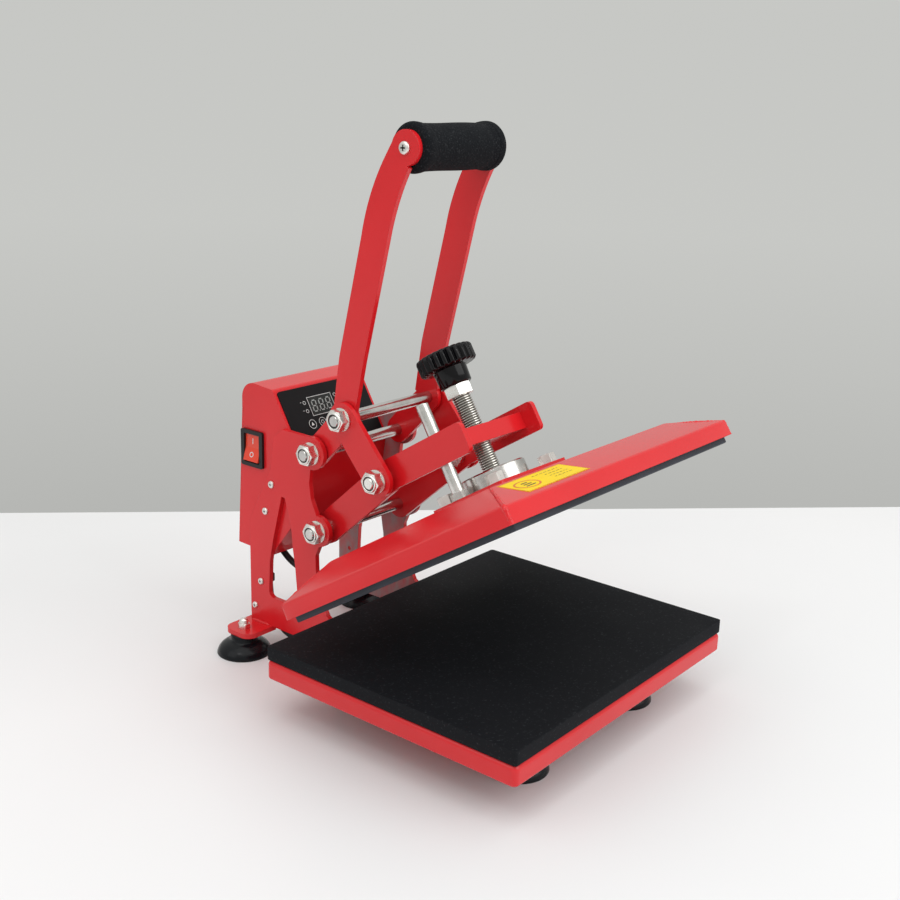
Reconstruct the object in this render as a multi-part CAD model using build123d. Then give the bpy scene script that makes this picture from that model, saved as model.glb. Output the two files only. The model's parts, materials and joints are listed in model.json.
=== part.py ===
from build123d import *
from math import atan2, cos, degrees, hypot, pi, radians, sin, tan
import os

# Clamshell heat press, in millimetres.  +X is the machine's right, +Y its back and +Z up.
# The origin is on the table, under the middle of the machine's length and width.

# ---- lower bed ----
BED_WIDTH = 305.0
BED_DEPTH = 254.0
BED_Y = -70.0
TRAY_BOTTOM = 35.5
TRAY_HEIGHT = 17.1
TRAY_SHEET = 2.0
TRAY_EDGE = 5.0
PAD_THICKNESS = 12.0
PAD_BOTTOM = TRAY_BOTTOM + TRAY_HEIGHT

# ---- side plates ----
PLATE_OUT = 61.0
PLATE_SHEET = 4.5
PLATE_IN = PLATE_OUT - PLATE_SHEET
RAIL_BOTTOM = 23.2
LEG_REAR_Y = 176.5
TAB_OUT = 91.0
TAB_LENGTH = 34.0
FOOT_REAR = (80.4, 165.3)
FOOT_FRONT = (77.5, -146.0)
FOOT_RADIUS = 25.0
FOOT_STUD_RADIUS = 3.0

# ---- linkage pivots, as (y, z), with the press open ----
HANDLE_PIVOT = (96.0, 201.0)
ARM_PIVOT = (88.5, 131.5)
STRAP_TOP = (60.2, 238.0)
STRAP_FOOT = (20.0, 192.7)
OPEN_ANGLE = 31.9
LOBE_RADIUS = 14.2
ROD_RADIUS = 5.5
STUD_RADIUS = 5.0
RUNNING_GAP = 0.05
NUT_FLATS = 17.0
NUT_HEIGHT = 8.0
WASHER_RADIUS = 10.0
WASHER_SHEET = 1.5

# ---- layers across the machine, as distances from its middle ----
ARM_IN = 45.5
ARM_OUT = 50.0
HANDLE_IN = 50.6
HANDLE_OUT = 55.1
STRAP_IN = 55.9
STRAP_OUT = 60.4

# ---- upper platen, in its own tilted frame: y towards the hinge, z away from the heated face ----
RIM_BACK = (27.8, 96.7)
COVER_WIDTH = 315.8
COVER_DEPTH = 255.0
COVER_WALL = 13.2
COVER_TOP = 30.4
COVER_SHEET = 1.6
COVER_INSET_X = 35.5
COVER_INSET_Y = 36.0
COVER_INLET = (-38.0, 8.0)
PLATEN_MIDDLE = -127.0
HEATER_GAP = 5.2
HEATER_BELOW = 4.8
HEATER_THICKNESS = 12.0
MOUNT_PLATE = (91.0, 80.0, 5.6)
BOSS_RADIUS = 28.0
BOSS_HEIGHT = 13.0
SCREW_Y = -126.0
SCREW_RADIUS = 8.0
SCREW_TOP = 140.0
KNOB_RADIUS = 24.8
KNOB_HUB_RADIUS = 14.5
KNOB_HUB = (125.0, 140.0)
KNOB_RIM_HEIGHT = 15.0
LOCKNUT_FLATS = 22.0
LOCKNUT_TURN = 38.0
GUIDE = (-39.0, -116.5)
GUIDE_RADIUS = 5.3
GUIDE_TOP = 119.0
CROSSBAR_FRONT = -141.0
CROSSBAR_DEPTH = 32.0
CROSSBAR_BOTTOM = 72.0
CROSSBAR_HEIGHT = 14.4
ARM_FRONT = -155.0
ARM_LOW = 65.5
ARM_HIGH = 91.5

# ---- handle ----
GRIP = (-0.4, 461.2)
GRIP_LOBE = 13.8
GRIP_TUBE_RADIUS = 12.5
FOAM_RADIUS = 18.3
FOAM_END_RADIUS = 19.2
HANDLE_FRONT_EDGE = ((41.0, 289.0), (16.5, 391.0), (-4.2, 446.0))
HANDLE_BACK_EDGE = ((68.5, 289.0), (44.3, 391.0), (18.6, 456.0))

# ---- control box, as a side outline in (y, z) ----
BOX_HALF = PLATE_IN
BOX_SHEET = 1.5
BOX_BACK_LOW = (196.9, 93.7)
BOX_BACK_HIGH = (188.6, 224.2)
BOX_TOP_BACK = (188.2, 250.7)
BOX_TOP_ROUND = 15.0
BOX_TOP_FRONT = (148.7, 247.2)
BOX_SLOPE_FOOT = (115.0, 192.3)
BOX_FRONT_LOW = (125.2, 125.9)
BOX_CHIN = (146.5, 99.4)
BOX_FLOOR = (150.6, 92.0)
ROCKER = (174.5, 189.0)
ROCKER_SIZE = (28.0, 34.0)
ROCKER_PIVOT_X = -54.5
ROCKER_TIP = 9.0
BOX_SCREWS = [(146.6, 161.7), (155.0, 134.7)]
CROSS_BAR_PLACES = (-150.0, 10.0)
CROSS_BAR_SIZE = (280.0, 22.0, TRAY_HEIGHT - TRAY_SHEET)
LEG_HOLES = [(162.3, 64.6), (170.5, 38.7)]

# ---- sloping panel, measured along its width and up its slope ----
PANEL_LENGTH = hypot(BOX_TOP_FRONT[0] - BOX_SLOPE_FOOT[0], BOX_TOP_FRONT[1] - BOX_SLOPE_FOOT[1])
DISPLAY = (-8.0, PANEL_LENGTH - 22.5)
DISPLAY_SIZE = (30.0, 18.0)
BUTTON_Y = PANEL_LENGTH - 38.5
BUTTONS = (-27.5, -15.0, -2.5, 10.0)

# ---- mains cord and heater lead ----
CORD_RADIUS = 3.5
CORD_GLAND = (-49.0, 165.5)
LEAD_RADIUS = 3.0
LEAD_BUSH_RADIUS = 4.2
LEAD_EXIT = ((166.0, 98.2), (154.5, 86.0))
COIL_MIDDLE = (10.0, -20.0)
COIL_LOW_TURNS = (31.5, 38.5, 45.5)
COIL_TOP_TURNS = (35.0, 42.0)
COIL_LAYER_RISE = 6.1
COIL_TAIL = 31.0
PLUG_BODY = (30.0, 26.0, 19.0)
PLUG_SLEEVE = 24.0

platen = Plane(
    origin=(0, RIM_BACK[0], RIM_BACK[1]),
    x_dir=(1, 0, 0),
    z_dir=(0, sin(radians(OPEN_ANGLE)), cos(radians(OPEN_ANGLE))),
)


def slab(profile, low_x, high_x):
    """A side outline drawn in (y, z), made solid from low_x to high_x."""
    return extrude(Plane.YZ.offset(low_x) * profile, high_x - low_x, dir=(1, 0, 0))


def bar_x(radius, low_x, high_x, at):
    """A round bar along X through the point at, a (y, z) pair."""
    return slab(Pos(at[0], at[1]) * Circle(radius), low_x, high_x)


def hex_x(flats, low_x, high_x, at, hole=0.0):
    """A hexagon nut or head along X, with its outer corners chamfered."""
    corner = flats / 2 / cos(pi / 6)
    body = slab(Pos(at[0], at[1]) * RegularPolygon(corner, 6), low_x, high_x)
    if low_x < 0:
        tip, root = low_x, high_x
    else:
        tip, root = high_x, low_x
    cone = Plane.YZ.offset(root) * Pos(at[0], at[1]) * Circle(corner + abs(tip - root) * 2.2)
    end = Plane.YZ.offset(tip) * Pos(at[0], at[1]) * Circle(flats / 2 - 0.2)
    body = body & loft([cone, end])
    if hole:
        body = body - bar_x(hole, low_x - 1, high_x + 1, at)
    return body


def hex_z(flats, low_z, high_z, x, y, hole=0.0):
    """A hexagon nut or head along Z."""
    corner = flats / 2 / cos(pi / 6)
    body = Pos(x, y, low_z) * extrude(RegularPolygon(corner, 6), high_z - low_z)
    cone = Pos(x, y, low_z) * loft([
        Circle(corner + (high_z - low_z) * 2.2),
        Pos(0, 0, high_z - low_z) * Circle(flats / 2 - 0.2),
    ])
    body = body & cone
    if hole:
        body = body - Pos(x, y, low_z) * Cylinder(hole, 3 * (high_z - low_z))
    return body


def rod_z(radius, low_z, high_z, x, y):
    """A round rod along Z."""
    return Pos(x, y, low_z) * extrude(Circle(radius), high_z - low_z)


def mirrored(solid):
    """The solid and its twin on the machine's other side."""
    return [solid, mirror(solid, Plane.YZ)]


def local(point):
    """A machine (y, z) point in the platen's tilted frame."""
    dy = point[0] - RIM_BACK[0]
    dz = point[1] - RIM_BACK[1]
    tilt = radians(OPEN_ANGLE)
    return (dy * cos(tilt) - dz * sin(tilt), dy * sin(tilt) + dz * cos(tilt))


def capsule(start, end, radius):
    """A flat bar outline with round ends at two points."""
    length = hypot(end[0] - start[0], end[1] - start[1])
    turn = degrees(atan2(end[1] - start[1], end[0] - start[0]))
    middle = ((start[0] + end[0]) / 2, (start[1] + end[1]) / 2)
    return Pos(middle[0], middle[1]) * Rot(0, 0, turn) * SlotCenterToCenter(length, 2 * radius)


# ---------------------------------------------------------------- lower bed

def lower_tray():
    """Folded sheet tray under the pad, open underneath, with round edges."""
    half_height = TRAY_HEIGHT / 2
    middle = Pos(0, BED_Y, TRAY_BOTTOM + half_height)
    shell = middle * Box(BED_WIDTH, BED_DEPTH, TRAY_HEIGHT)
    shell = fillet(shell.edges().filter_by(Axis.Z), TRAY_EDGE)
    rim = shell.faces().sort_by(Axis.Z)[-1].edges()
    shell = fillet(rim, TRAY_EDGE - 0.5)
    foot = shell.faces().sort_by(Axis.Z)[0].edges()
    shell = fillet(foot, TRAY_EDGE / 2)
    inside = Pos(0, BED_Y, TRAY_BOTTOM + half_height - TRAY_SHEET) * Box(
        BED_WIDTH - 2 * TRAY_EDGE, BED_DEPTH - 2 * TRAY_EDGE, TRAY_HEIGHT
    )
    shell = shell - inside
    for x, y in screw_places():
        shell = shell - rod_z(2.5, PAD_BOTTOM - 3, PAD_BOTTOM + 1, x, y)
    return shell


def base_pad():
    """Black heat-proof pad on the tray, with crisp edges."""
    pad = Pos(0, BED_Y, PAD_BOTTOM + PAD_THICKNESS / 2) * Box(BED_WIDTH - 1, BED_DEPTH - 1, PAD_THICKNESS)
    pad = chamfer(pad.edges().filter_by(Axis.Z), 2.0)
    return fillet(pad.faces().sort_by(Axis.Z)[-1].edges(), 0.8)


def screw_places():
    """Where the tray is screwed down to its cross bars."""
    return [(x, y) for x in (-110.0, 110.0) for y in CROSS_BAR_PLACES]


def tray_cross_bars():
    """Two square tubes across the rails, which carry the tray."""
    bars = []
    wide, deep, high = CROSS_BAR_SIZE
    for y in CROSS_BAR_PLACES:
        tube = Box(wide, deep, high) - Box(wide + 2, deep - 4, high - 4)
        tube = Pos(0, y, TRAY_BOTTOM + high / 2) * tube
        for x in (-110.0, 110.0):
            tube = tube - rod_z(2.0, TRAY_BOTTOM + high - 4, TRAY_BOTTOM + high + 1, x, y)
        bars.append(tube)
    return bars


def frame_screws():
    """Countersunk screws that hold the tray to the cross bars."""
    screws = []
    for x, y in screw_places():
        shank = rod_z(2.0, PAD_BOTTOM - 8, PAD_BOTTOM - 2, x, y)
        head = Pos(x, y, PAD_BOTTOM - 2) * extrude(Circle(2.5), 2.0)
        screws.append(shank + head)
    return screws


# ---------------------------------------------------------------- side plates

def plate_outline():
    """Outline of a side plate: rail, two legs, two pivot lobes."""
    handle_y, handle_z = HANDLE_PIVOT
    arm_y, arm_z = ARM_PIVOT
    body = Polygon(
        (handle_y - 2, handle_z + LOBE_RADIUS - 0.3),
        (132.0, 215.5),
        (143.7, 206.4),
        (148.0, 176.0),
        (LEG_REAR_Y, 122.0),
        (LEG_REAR_Y, RAIL_BOTTOM),
        (-163.0, RAIL_BOTTOM),
        (-163.0, TRAY_BOTTOM),
        (60.5, TRAY_BOTTOM),
        (67.0, 48.0),
        (77.4, 54.0),
        (88.0, 74.0),
        (91.0, 95.0),
        (91.4, 108.0),
        (86.0, 120.0),
        (88.5, 142.0),
        (96.6, 158.7),
        (98.9, 173.0),
        (97.0, 188.0),
        align=None,
    )
    handle_lobe = Pos(handle_y, handle_z) * Circle(LOBE_RADIUS + 0.6)
    arm_lobe = Pos(arm_y, arm_z) * Circle(LOBE_RADIUS - 0.2)
    return body + handle_lobe + arm_lobe


def plate_window():
    """The tall opening between the front and rear legs."""
    opening = Polygon(
        (134.0, 153.0), (139.0, 134.0), (145.7, 109.0), (150.2, 88.0), (152.1, 52.0),
        (112.0, 52.0), (115.1, 69.0), (117.4, 92.5), (119.8, 106.0), (122.0, 127.5),
        (130.0, 153.0),
        align=None,
    )
    return fillet(opening.vertices().sort_by(Axis.Y)[:2], 6.0)


def side_plate():
    """Left side plate with its two foot tabs bent outwards."""
    outline = plate_outline() - plate_window()
    for pivot in (HANDLE_PIVOT, ARM_PIVOT):
        outline = outline - Pos(pivot[0], pivot[1]) * Circle(STUD_RADIUS)
    for y, z in BOX_SCREWS + LEG_HOLES:
        outline = outline - Pos(y, z) * Circle(2.0)
    plate = slab(outline, -PLATE_OUT, -PLATE_IN)
    tab_wide = TAB_OUT - PLATE_IN
    for x, y in (FOOT_REAR, FOOT_FRONT):
        tab = Rectangle(tab_wide, TAB_LENGTH)
        outer = tab.vertices().group_by(Axis.X)[0]
        tab = fillet(outer, 10.0)
        tab = Pos(-PLATE_IN - tab_wide / 2, y) * tab - Pos(-x, y) * Circle(FOOT_STUD_RADIUS)
        plate = plate + Pos(0, 0, RAIL_BOTTOM - PLATE_SHEET) * extrude(tab, PLATE_SHEET)
    return plate


def box_screws():
    """Small dome-headed screws that hold the control box to the side plates."""
    screws = []
    for y, z in BOX_SCREWS:
        head = bar_x(3.4, -PLATE_OUT - 1.8, -PLATE_OUT, (y, z))
        head = fillet(head.faces().sort_by(Axis.X)[0].edges(), 1.3)
        shank = bar_x(2.0, -PLATE_OUT, -PLATE_IN + 4, (y, z))
        screws += mirrored(head + shank)
    return screws


def suction_feet():
    """Four round rubber suction feet."""
    profile = Polygon(
        (FOOT_STUD_RADIUS, 6.0), (12.0, 6.0), (21.0, 0.0), (FOOT_RADIUS, 0.0), (FOOT_RADIUS - 0.6, 2.2),
        (FOOT_RADIUS - 6.0, 5.5), (13.5, 9.0), (11.5, 13.0), (12.0, RAIL_BOTTOM - PLATE_SHEET),
        (FOOT_STUD_RADIUS, RAIL_BOTTOM - PLATE_SHEET),
        align=None,
    )
    foot = revolve(Plane.XZ * profile, Axis.Z)
    feet = []
    for x, y in (FOOT_REAR, FOOT_FRONT):
        feet += mirrored(Pos(-x, y, 0) * foot)
    return feet


def foot_nuts():
    """Stud and dome nut that hold each foot to its tab."""
    nuts = []
    for x, y in (FOOT_REAR, FOOT_FRONT):
        stud = rod_z(FOOT_STUD_RADIUS, 8.0, RAIL_BOTTOM, -x, y)
        nut = hex_z(10.0, RAIL_BOTTOM, RAIL_BOTTOM + 5.0, -x, y)
        dome = rod_z(4.2, RAIL_BOTTOM + 4.0, RAIL_BOTTOM + 10.0, -x, y)
        dome = fillet(dome.faces().sort_by(Axis.Z)[-1].edges(), 3.5)
        nuts += mirrored(stud + nut + dome)
    return nuts


# ---------------------------------------------------------------- control box

def box_outline(inset=0.0):
    """Side outline of the control box."""
    outline = Polygon(
        BOX_BACK_LOW, BOX_BACK_HIGH, BOX_TOP_BACK, BOX_TOP_FRONT, BOX_SLOPE_FOOT,
        BOX_FRONT_LOW, BOX_CHIN, BOX_FLOOR,
        align=None,
    )
    for corner, radius in ((BOX_TOP_FRONT, 4.0), (BOX_TOP_BACK, BOX_TOP_ROUND)):
        outline = fillet(outline.vertices().sort_by_distance((*corner, 0))[0], radius)
    if inset:
        outline = offset(outline, -inset, kind=Kind.INTERSECTION)
    return outline


def control_box():
    """Bent sheet housing, closed at the sides and open at the back."""
    shell = slab(box_outline(), -BOX_HALF, BOX_HALF)
    inside = slab(box_outline(BOX_SHEET), -BOX_HALF + BOX_SHEET, BOX_HALF - BOX_SHEET)
    shell = shell - inside - back_sheet(5.0)
    wall = -BOX_HALF + BOX_SHEET / 2
    switch_hole = Box(3 * BOX_SHEET, ROCKER_SIZE[0] - 5, ROCKER_SIZE[1] - 5)
    shell = shell - Pos(wall, ROCKER[0], ROCKER[1]) * switch_hole
    for y, z in BOX_SCREWS:
        shell = shell - bar_x(2.0, -BOX_HALF - 1, BOX_HALF + 1, (y, z))
    shell = shell - panel_place() * Pos(DISPLAY[0], DISPLAY[1], 0) * Box(26.0, 14.0, 8.0)
    floor_z = BOX_FLOOR[1]
    shell = shell - rod_z(CORD_RADIUS + 1.8, floor_z - 5, floor_z + 2.6, CORD_GLAND[0], CORD_GLAND[1])
    return shell - lead_sleeve(LEAD_BUSH_RADIUS, 16.0)


def back_line(z, depth):
    """Point of the box's leaning back at height z, set in by depth."""
    low_y, low_z = BOX_BACK_LOW
    high_y, high_z = BOX_BACK_HIGH
    return (low_y + (z - low_z) * (high_y - low_y) / (high_z - low_z) - depth, z)


def back_sheet(outside):
    """A leaning sheet at the box's back, from its bottom edge to its top lip."""
    sheet = BOX_SHEET + 0.1
    low = BOX_BACK_LOW[1] - outside
    high = BOX_BACK_HIGH[1] if outside else BOX_BACK_HIGH[1] - 0.2
    profile = Polygon(
        back_line(low, -outside), back_line(high, -outside), back_line(high, sheet), back_line(low, sheet),
        align=None,
    )
    return slab(profile, -BOX_HALF - outside, BOX_HALF + outside)


def box_back_cover():
    """Flat cover over the back of the control box."""
    return back_sheet(0.0)


def panel_place():
    """Plane of the sloping front panel, seen from the front, centred on its width."""
    top_y, top_z = BOX_TOP_FRONT
    foot_y, foot_z = BOX_SLOPE_FOOT
    rise = Vector(0, top_y - foot_y, top_z - foot_z).normalized()
    across = Vector(1, 0, 0)
    return Plane(origin=(0, foot_y, foot_z), x_dir=across, z_dir=across.cross(rise)).location


def control_panel():
    """Black film over the sloping face, with a window for the display."""
    low = 4.0
    high = PANEL_LENGTH - 3.0
    film = Pos(0, (low + high) / 2) * RectangleRounded(2 * BOX_HALF - 6, high - low, 3.0)
    film = film - Pos(DISPLAY[0], DISPLAY[1]) * RectangleRounded(DISPLAY_SIZE[0], DISPLAY_SIZE[1], 1.0)
    for x in BUTTONS:
        film = film - Pos(x, BUTTON_Y) * Circle(4.6)
    return panel_place() * extrude(film, 0.8)


def display_window():
    """Smoked window of the three-digit display."""
    window = RectangleRounded(DISPLAY_SIZE[0], DISPLAY_SIZE[1], 1.0)
    return panel_place() * Pos(DISPLAY[0], DISPLAY[1]) * extrude(window, 0.9)


def panel_buttons():
    """Round membrane buttons, flush with the film."""
    return [panel_place() * Pos(x, BUTTON_Y) * extrude(Circle(4.6), 1.0) for x in BUTTONS]


def rocker_bezel():
    """Black frame of the power switch, snapped into the box's left side."""
    y, z = ROCKER
    wide, tall = ROCKER_SIZE
    face = RectangleRounded(wide, tall, 2.0) - Rectangle(wide - 8.4, tall - 7.4)
    frame = slab(Pos(y, z) * face, -BOX_HALF - 2.6, -BOX_HALF)
    body = Rectangle(wide - 5, tall - 5) - Rectangle(wide - 8.4, tall - 7.4)
    body = slab(Pos(y, z) * body, -BOX_HALF, -BOX_HALF + 16)
    back = slab(Pos(y, z) * Rectangle(wide - 5, tall - 5), -BOX_HALF + 16, -BOX_HALF + 19)
    return frame + body + back


def power_rocker():
    """Rocking cap of the power switch, tipped so that its upper half is pressed in."""
    y, z = ROCKER
    wide = ROCKER_SIZE[0] - 9.2
    half = ROCKER_SIZE[1] / 2 - 4.6
    # The outline is drawn level in (z, x) about its pivot, then laid in the XZ plane and thickened along Y.
    side = Polygon(
        (half, -4.4), (half, 0.0), (5.0, 6.0), (-5.0, 6.0), (-half, 0.0), (-half, -4.4), (0.0, -2.8),
        align=None,
    )
    place = Plane(origin=(ROCKER_PIVOT_X, y - wide / 2, z), x_dir=(0, 0, 1), z_dir=(0, 1, 0))
    return place.location * extrude(Rot(0, 0, ROCKER_TIP) * side, wide)


def control_board():
    """Circuit board behind the sloping panel, on the display's own block."""
    board = Pos(0, PANEL_LENGTH / 2 + 4, -9.0) * Box(96.0, 50.0, 1.6)
    block = Pos(DISPLAY[0], DISPLAY[1], -4.2) * Box(25.6, 13.6, 8.0)
    return panel_place() * (board + block)


def heater_relay():
    """Relay that switches the heater, bolted to the box's right side."""
    body = Pos(BOX_HALF - BOX_SHEET - 24, 168, 150) * Box(28.0, 40.0, 58.0)
    return chamfer(body.edges().filter_by(Axis.X), 2.0)


def cord_gland():
    """Tapered strain relief of the mains cord, below the floor of the control box."""
    x, y = CORD_GLAND
    bore = CORD_RADIUS
    profile = Polygon(
        (bore, -20.0), (bore + 0.9, -20.0), (bore + 1.8, 0.0), (bore + 1.8, 2.6), (bore + 2.4, 2.6),
        (bore + 2.4, 5.0), (bore, 5.0),
        align=None,
    )
    return Pos(x, y, BOX_FLOOR[1]) * revolve(Plane.XZ * profile, Axis.Z)


def lead_line():
    """Start and unit direction of the heater lead's straight way out of the box's floor."""
    (start_y, start_z), (end_y, end_z) = LEAD_EXIT
    start = Vector(COVER_INLET[0], start_y, start_z)
    return start, (Vector(COVER_INLET[0], end_y, end_z) - start).normalized()


def lead_sleeve(radius, length):
    """A slanted cylinder round the heater lead where it leaves the box."""
    start, way = lead_line()
    return Plane(origin=start, z_dir=way).location * extrude(Circle(radius), length)


def heater_lead_gland():
    """Slanted rubber bush of the heater lead in the box's floor."""
    return lead_sleeve(LEAD_BUSH_RADIUS, 8.6) - lead_sleeve(LEAD_RADIUS, 8.6)


# ---------------------------------------------------------------- cords

def cable(points, radius):
    """A cable's solid: straight runs joined by the largest arcs that they allow."""
    ends = [Vector(*point) for point in points]
    radii = []
    for before, corner, after in zip(ends, ends[1:], ends[2:]):
        into = corner - before
        out = after - corner
        half_turn = radians(into.get_angle(out)) / 2
        radii.append(0.45 * min(into.length, out.length) / tan(half_turn))
    path = FilletPolyline(*ends, radius=radii)
    section = Plane(origin=ends[0], z_dir=ends[1] - ends[0]) * Circle(radius)
    return sweep(section, path)


def cord_points():
    """Middle line of the mains cord, from the gland to its coil."""
    x, y = CORD_GLAND
    lying = CORD_RADIUS
    return [
        (x, y, BOX_FLOOR[1] + 4.0),
        (x, y, 59.5),
        (-50.5, 159.5, 33.0),
        (-46.0, 149.8, 14.4),
        (-37.0, 133.0, lying),
        (-28.0, 113.0, lying),
        (-24.5, 90.0, lying),
        (-25.5, 66.0, lying),
        (-29.5, 43.0, lying),
        (-34.0, 22.0, lying),
        (-35.3, 6.0, lying),
        (COIL_MIDDLE[0] - COIL_LOW_TURNS[-1], COIL_MIDDLE[1] + 12.0, lying),
    ]


def power_cord():
    """Mains cord down the left rear leg and forward under the machine to its coil."""
    return cable(cord_points(), CORD_RADIUS)


def coil_ring():
    """Outer shape of the five turns of the put-away cord."""
    inner = COIL_LOW_TURNS[0] - CORD_RADIUS
    outer = COIL_LOW_TURNS[-1] + CORD_RADIUS
    high = COIL_LAYER_RISE + 2 * CORD_RADIUS
    profile = Polygon(
        (inner, 0.0), (outer, 0.0), (outer, 5.5), (COIL_TOP_TURNS[-1] + CORD_RADIUS, high),
        (COIL_TOP_TURNS[0] - CORD_RADIUS, high), (inner, 5.5),
        align=None,
    )
    return Pos(COIL_MIDDLE[0], COIL_MIDDLE[1], 0) * revolve(Plane.XZ * profile, Axis.Z)


def cord_coil(cord):
    """Coil of the cord on the table, with its short tail to the plug."""
    start = (COIL_MIDDLE[0] - COIL_TOP_TURNS[-1], COIL_MIDDLE[1], PLUG_BODY[2] / 2)
    tail = Plane(origin=start, z_dir=(0, -1, 0)).location * extrude(Circle(CORD_RADIUS), COIL_TAIL)
    return coil_ring() + tail - cord


def power_plug():
    """Plain two-pin plug beside the coil, with its tapered sleeve."""
    long, wide, high = PLUG_BODY
    middle = high / 2
    body = Pos(0, long / 2, middle) * Box(wide, long, high)
    body = chamfer(body.edges().filter_by(Axis.Y), 4.0)
    face = body.faces().sort_by(Axis.Y)[0]
    body = chamfer(face.edges(), 2.5)
    sleeve = Plane(origin=(0, 0, middle), z_dir=(0, -1, 0)).location * loft([
        Circle(5.6), Pos(0, 0, PLUG_SLEEVE) * Circle(CORD_RADIUS + 0.6),
    ])
    plug = body + sleeve
    for x in (-9.5, 9.5):
        pin = Plane(origin=(x, long, middle), z_dir=(0, 1, 0)).location * extrude(Circle(2.0), 19.0)
        plug = plug + pin
    place = Pos(COIL_MIDDLE[0] - COIL_TOP_TURNS[-1], COIL_MIDDLE[1] - COIL_TAIL - PLUG_SLEEVE, 0)
    return place * Rot(0, 0, 180) * plug


def cord_clips():
    """Two clips that hold the cord to the left rear leg's inner face."""
    clips = []
    for (hole_y, z), (cord_x, cord_y) in zip(LEG_HOLES, ((-49.3, 164.9), (-50.2, 160.9))):
        tab = Pos(-PLATE_IN + 0.7, (hole_y + cord_y) / 2, z) * Box(1.4, abs(hole_y - cord_y) + 11.0, 9.0)
        reach = PLATE_IN + cord_x - 1.0
        wall = Pos(cord_x - 1.0 - reach / 2, cord_y, z) * Box(reach, 9.0, 6.0)
        ring = rod_z(5.6, z - 3.0, z + 3.0, cord_x, cord_y)
        clip = tab + wall + ring - rod_z(CORD_RADIUS + 1.4, z - 8.0, z + 8.0, cord_x, cord_y)
        clip = clip & Pos(-PLATE_IN + 10, hole_y, z) * Box(20.0, 60.0, 40.0)
        clips.append(clip - bar_x(2.0, -PLATE_IN - 1, -PLATE_IN + 1.4, (hole_y, z)))
    return clips


def clip_screws():
    """Small dome-headed screws of the cord clips, from outside the left leg."""
    screws = []
    for place in LEG_HOLES:
        head = bar_x(3.2, -PLATE_OUT - 1.8, -PLATE_OUT, place)
        head = fillet(head.faces().sort_by(Axis.X)[0].edges(), 1.3)
        screws.append(head + bar_x(2.0, -PLATE_OUT, -PLATE_IN + 1.2, place))
    return screws


def heater_lead():
    """Heat-proof lead that hangs from the box to the back of the platen's cover."""
    x = COVER_INLET[0]
    start, way = lead_line()
    inlet = platen.location * Pos(x, 0, COVER_INLET[1])
    inside = (inlet * Pos(0, -4.8, 0)).position
    outside = (inlet * Pos(0, 24.0, 0)).position
    return cable([
        tuple(start),
        (x, LEAD_EXIT[1][0], LEAD_EXIT[1][1]),
        (x, 138.0, 79.0),
        (x, 117.0, 74.0),
        (x, 95.0, 74.0),
        (x, 74.0, 80.0),
        tuple(outside),
        tuple(inside),
    ], LEAD_RADIUS)


# ---------------------------------------------------------------- pivots on the frame

def pivot_rod(pivot, shoulder):
    """Cross shaft with stepped-down ends for the nuts."""
    middle = bar_x(ROD_RADIUS, -shoulder, shoulder, pivot)
    reach = PLATE_OUT + WASHER_SHEET + NUT_HEIGHT + 1.5
    ends = bar_x(STUD_RADIUS, -reach, reach, pivot)
    ends = chamfer(ends.faces().filter_by(GeomType.PLANE).edges(), 0.8)
    return middle + ends


def ring_x(outer, inner, low_x, high_x, at):
    """A washer or spacer along X."""
    return bar_x(outer, low_x, high_x, at) - bar_x(inner, low_x - 1, high_x + 1, at)


def pivot_washers():
    """Flat washers under the outer pivot nuts."""
    washers = []
    for pivot in (HANDLE_PIVOT, ARM_PIVOT):
        washer = ring_x(WASHER_RADIUS, STUD_RADIUS, -PLATE_OUT - WASHER_SHEET, -PLATE_OUT, pivot)
        washers += mirrored(washer)
    return washers


def pivot_spacers():
    """Spacer rings between the side plates and what turns inside them."""
    at_handle = ring_x(8.5, STUD_RADIUS, -PLATE_IN, -HANDLE_OUT - 0.05, HANDLE_PIVOT)
    at_arm = ring_x(8.5, STUD_RADIUS, -PLATE_IN, -ARM_OUT - 0.05, ARM_PIVOT)
    return mirrored(at_handle) + mirrored(at_arm)


def pivot_nuts():
    """Lock nuts on the outer ends of the two frame pivots."""
    nuts = []
    seat = -PLATE_OUT - WASHER_SHEET
    for pivot in (HANDLE_PIVOT, ARM_PIVOT):
        nuts += mirrored(hex_x(NUT_FLATS, seat - NUT_HEIGHT, seat, pivot, STUD_RADIUS))
    return nuts


# ---------------------------------------------------------------- arms

def arm():
    """Left arm: a flat bar from the frame pivot, bent level with the platen past the strap."""
    root = local(ARM_PIVOT)
    knee = local(STRAP_FOOT)
    rear = capsule(root, knee, LOBE_RADIUS - 0.6)
    length = knee[0] - ARM_FRONT
    middle = ((knee[0] + ARM_FRONT) / 2, (ARM_LOW + ARM_HIGH) / 2)
    fore = Rectangle(length, ARM_HIGH - ARM_LOW)
    fore = fillet(fore.vertices().group_by(Axis.X)[0], 4.5)
    outline = rear + Pos(middle[0], middle[1]) * fore
    outline = outline - Pos(root[0], root[1]) * Circle(STUD_RADIUS + RUNNING_GAP)
    outline = outline - Pos(knee[0], knee[1]) * Circle(STUD_RADIUS)
    return platen.location * slab(outline, -ARM_OUT, -ARM_IN)


def crossbar():
    """Solid bar across the arms, bored for the pressure screw and the guide rod's bush."""
    middle_y = CROSSBAR_FRONT + CROSSBAR_DEPTH / 2
    middle_z = CROSSBAR_BOTTOM + CROSSBAR_HEIGHT / 2
    bar = Pos(0, middle_y, middle_z) * Box(2 * ARM_IN, CROSSBAR_DEPTH, CROSSBAR_HEIGHT)
    bar = bar - rod_z(SCREW_RADIUS + RUNNING_GAP, 60, 100, 0, SCREW_Y)
    bar = bar - rod_z(GUIDE_RADIUS + 1.0, 60, 100, GUIDE[0], GUIDE[1])
    return platen.location * bar


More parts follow.
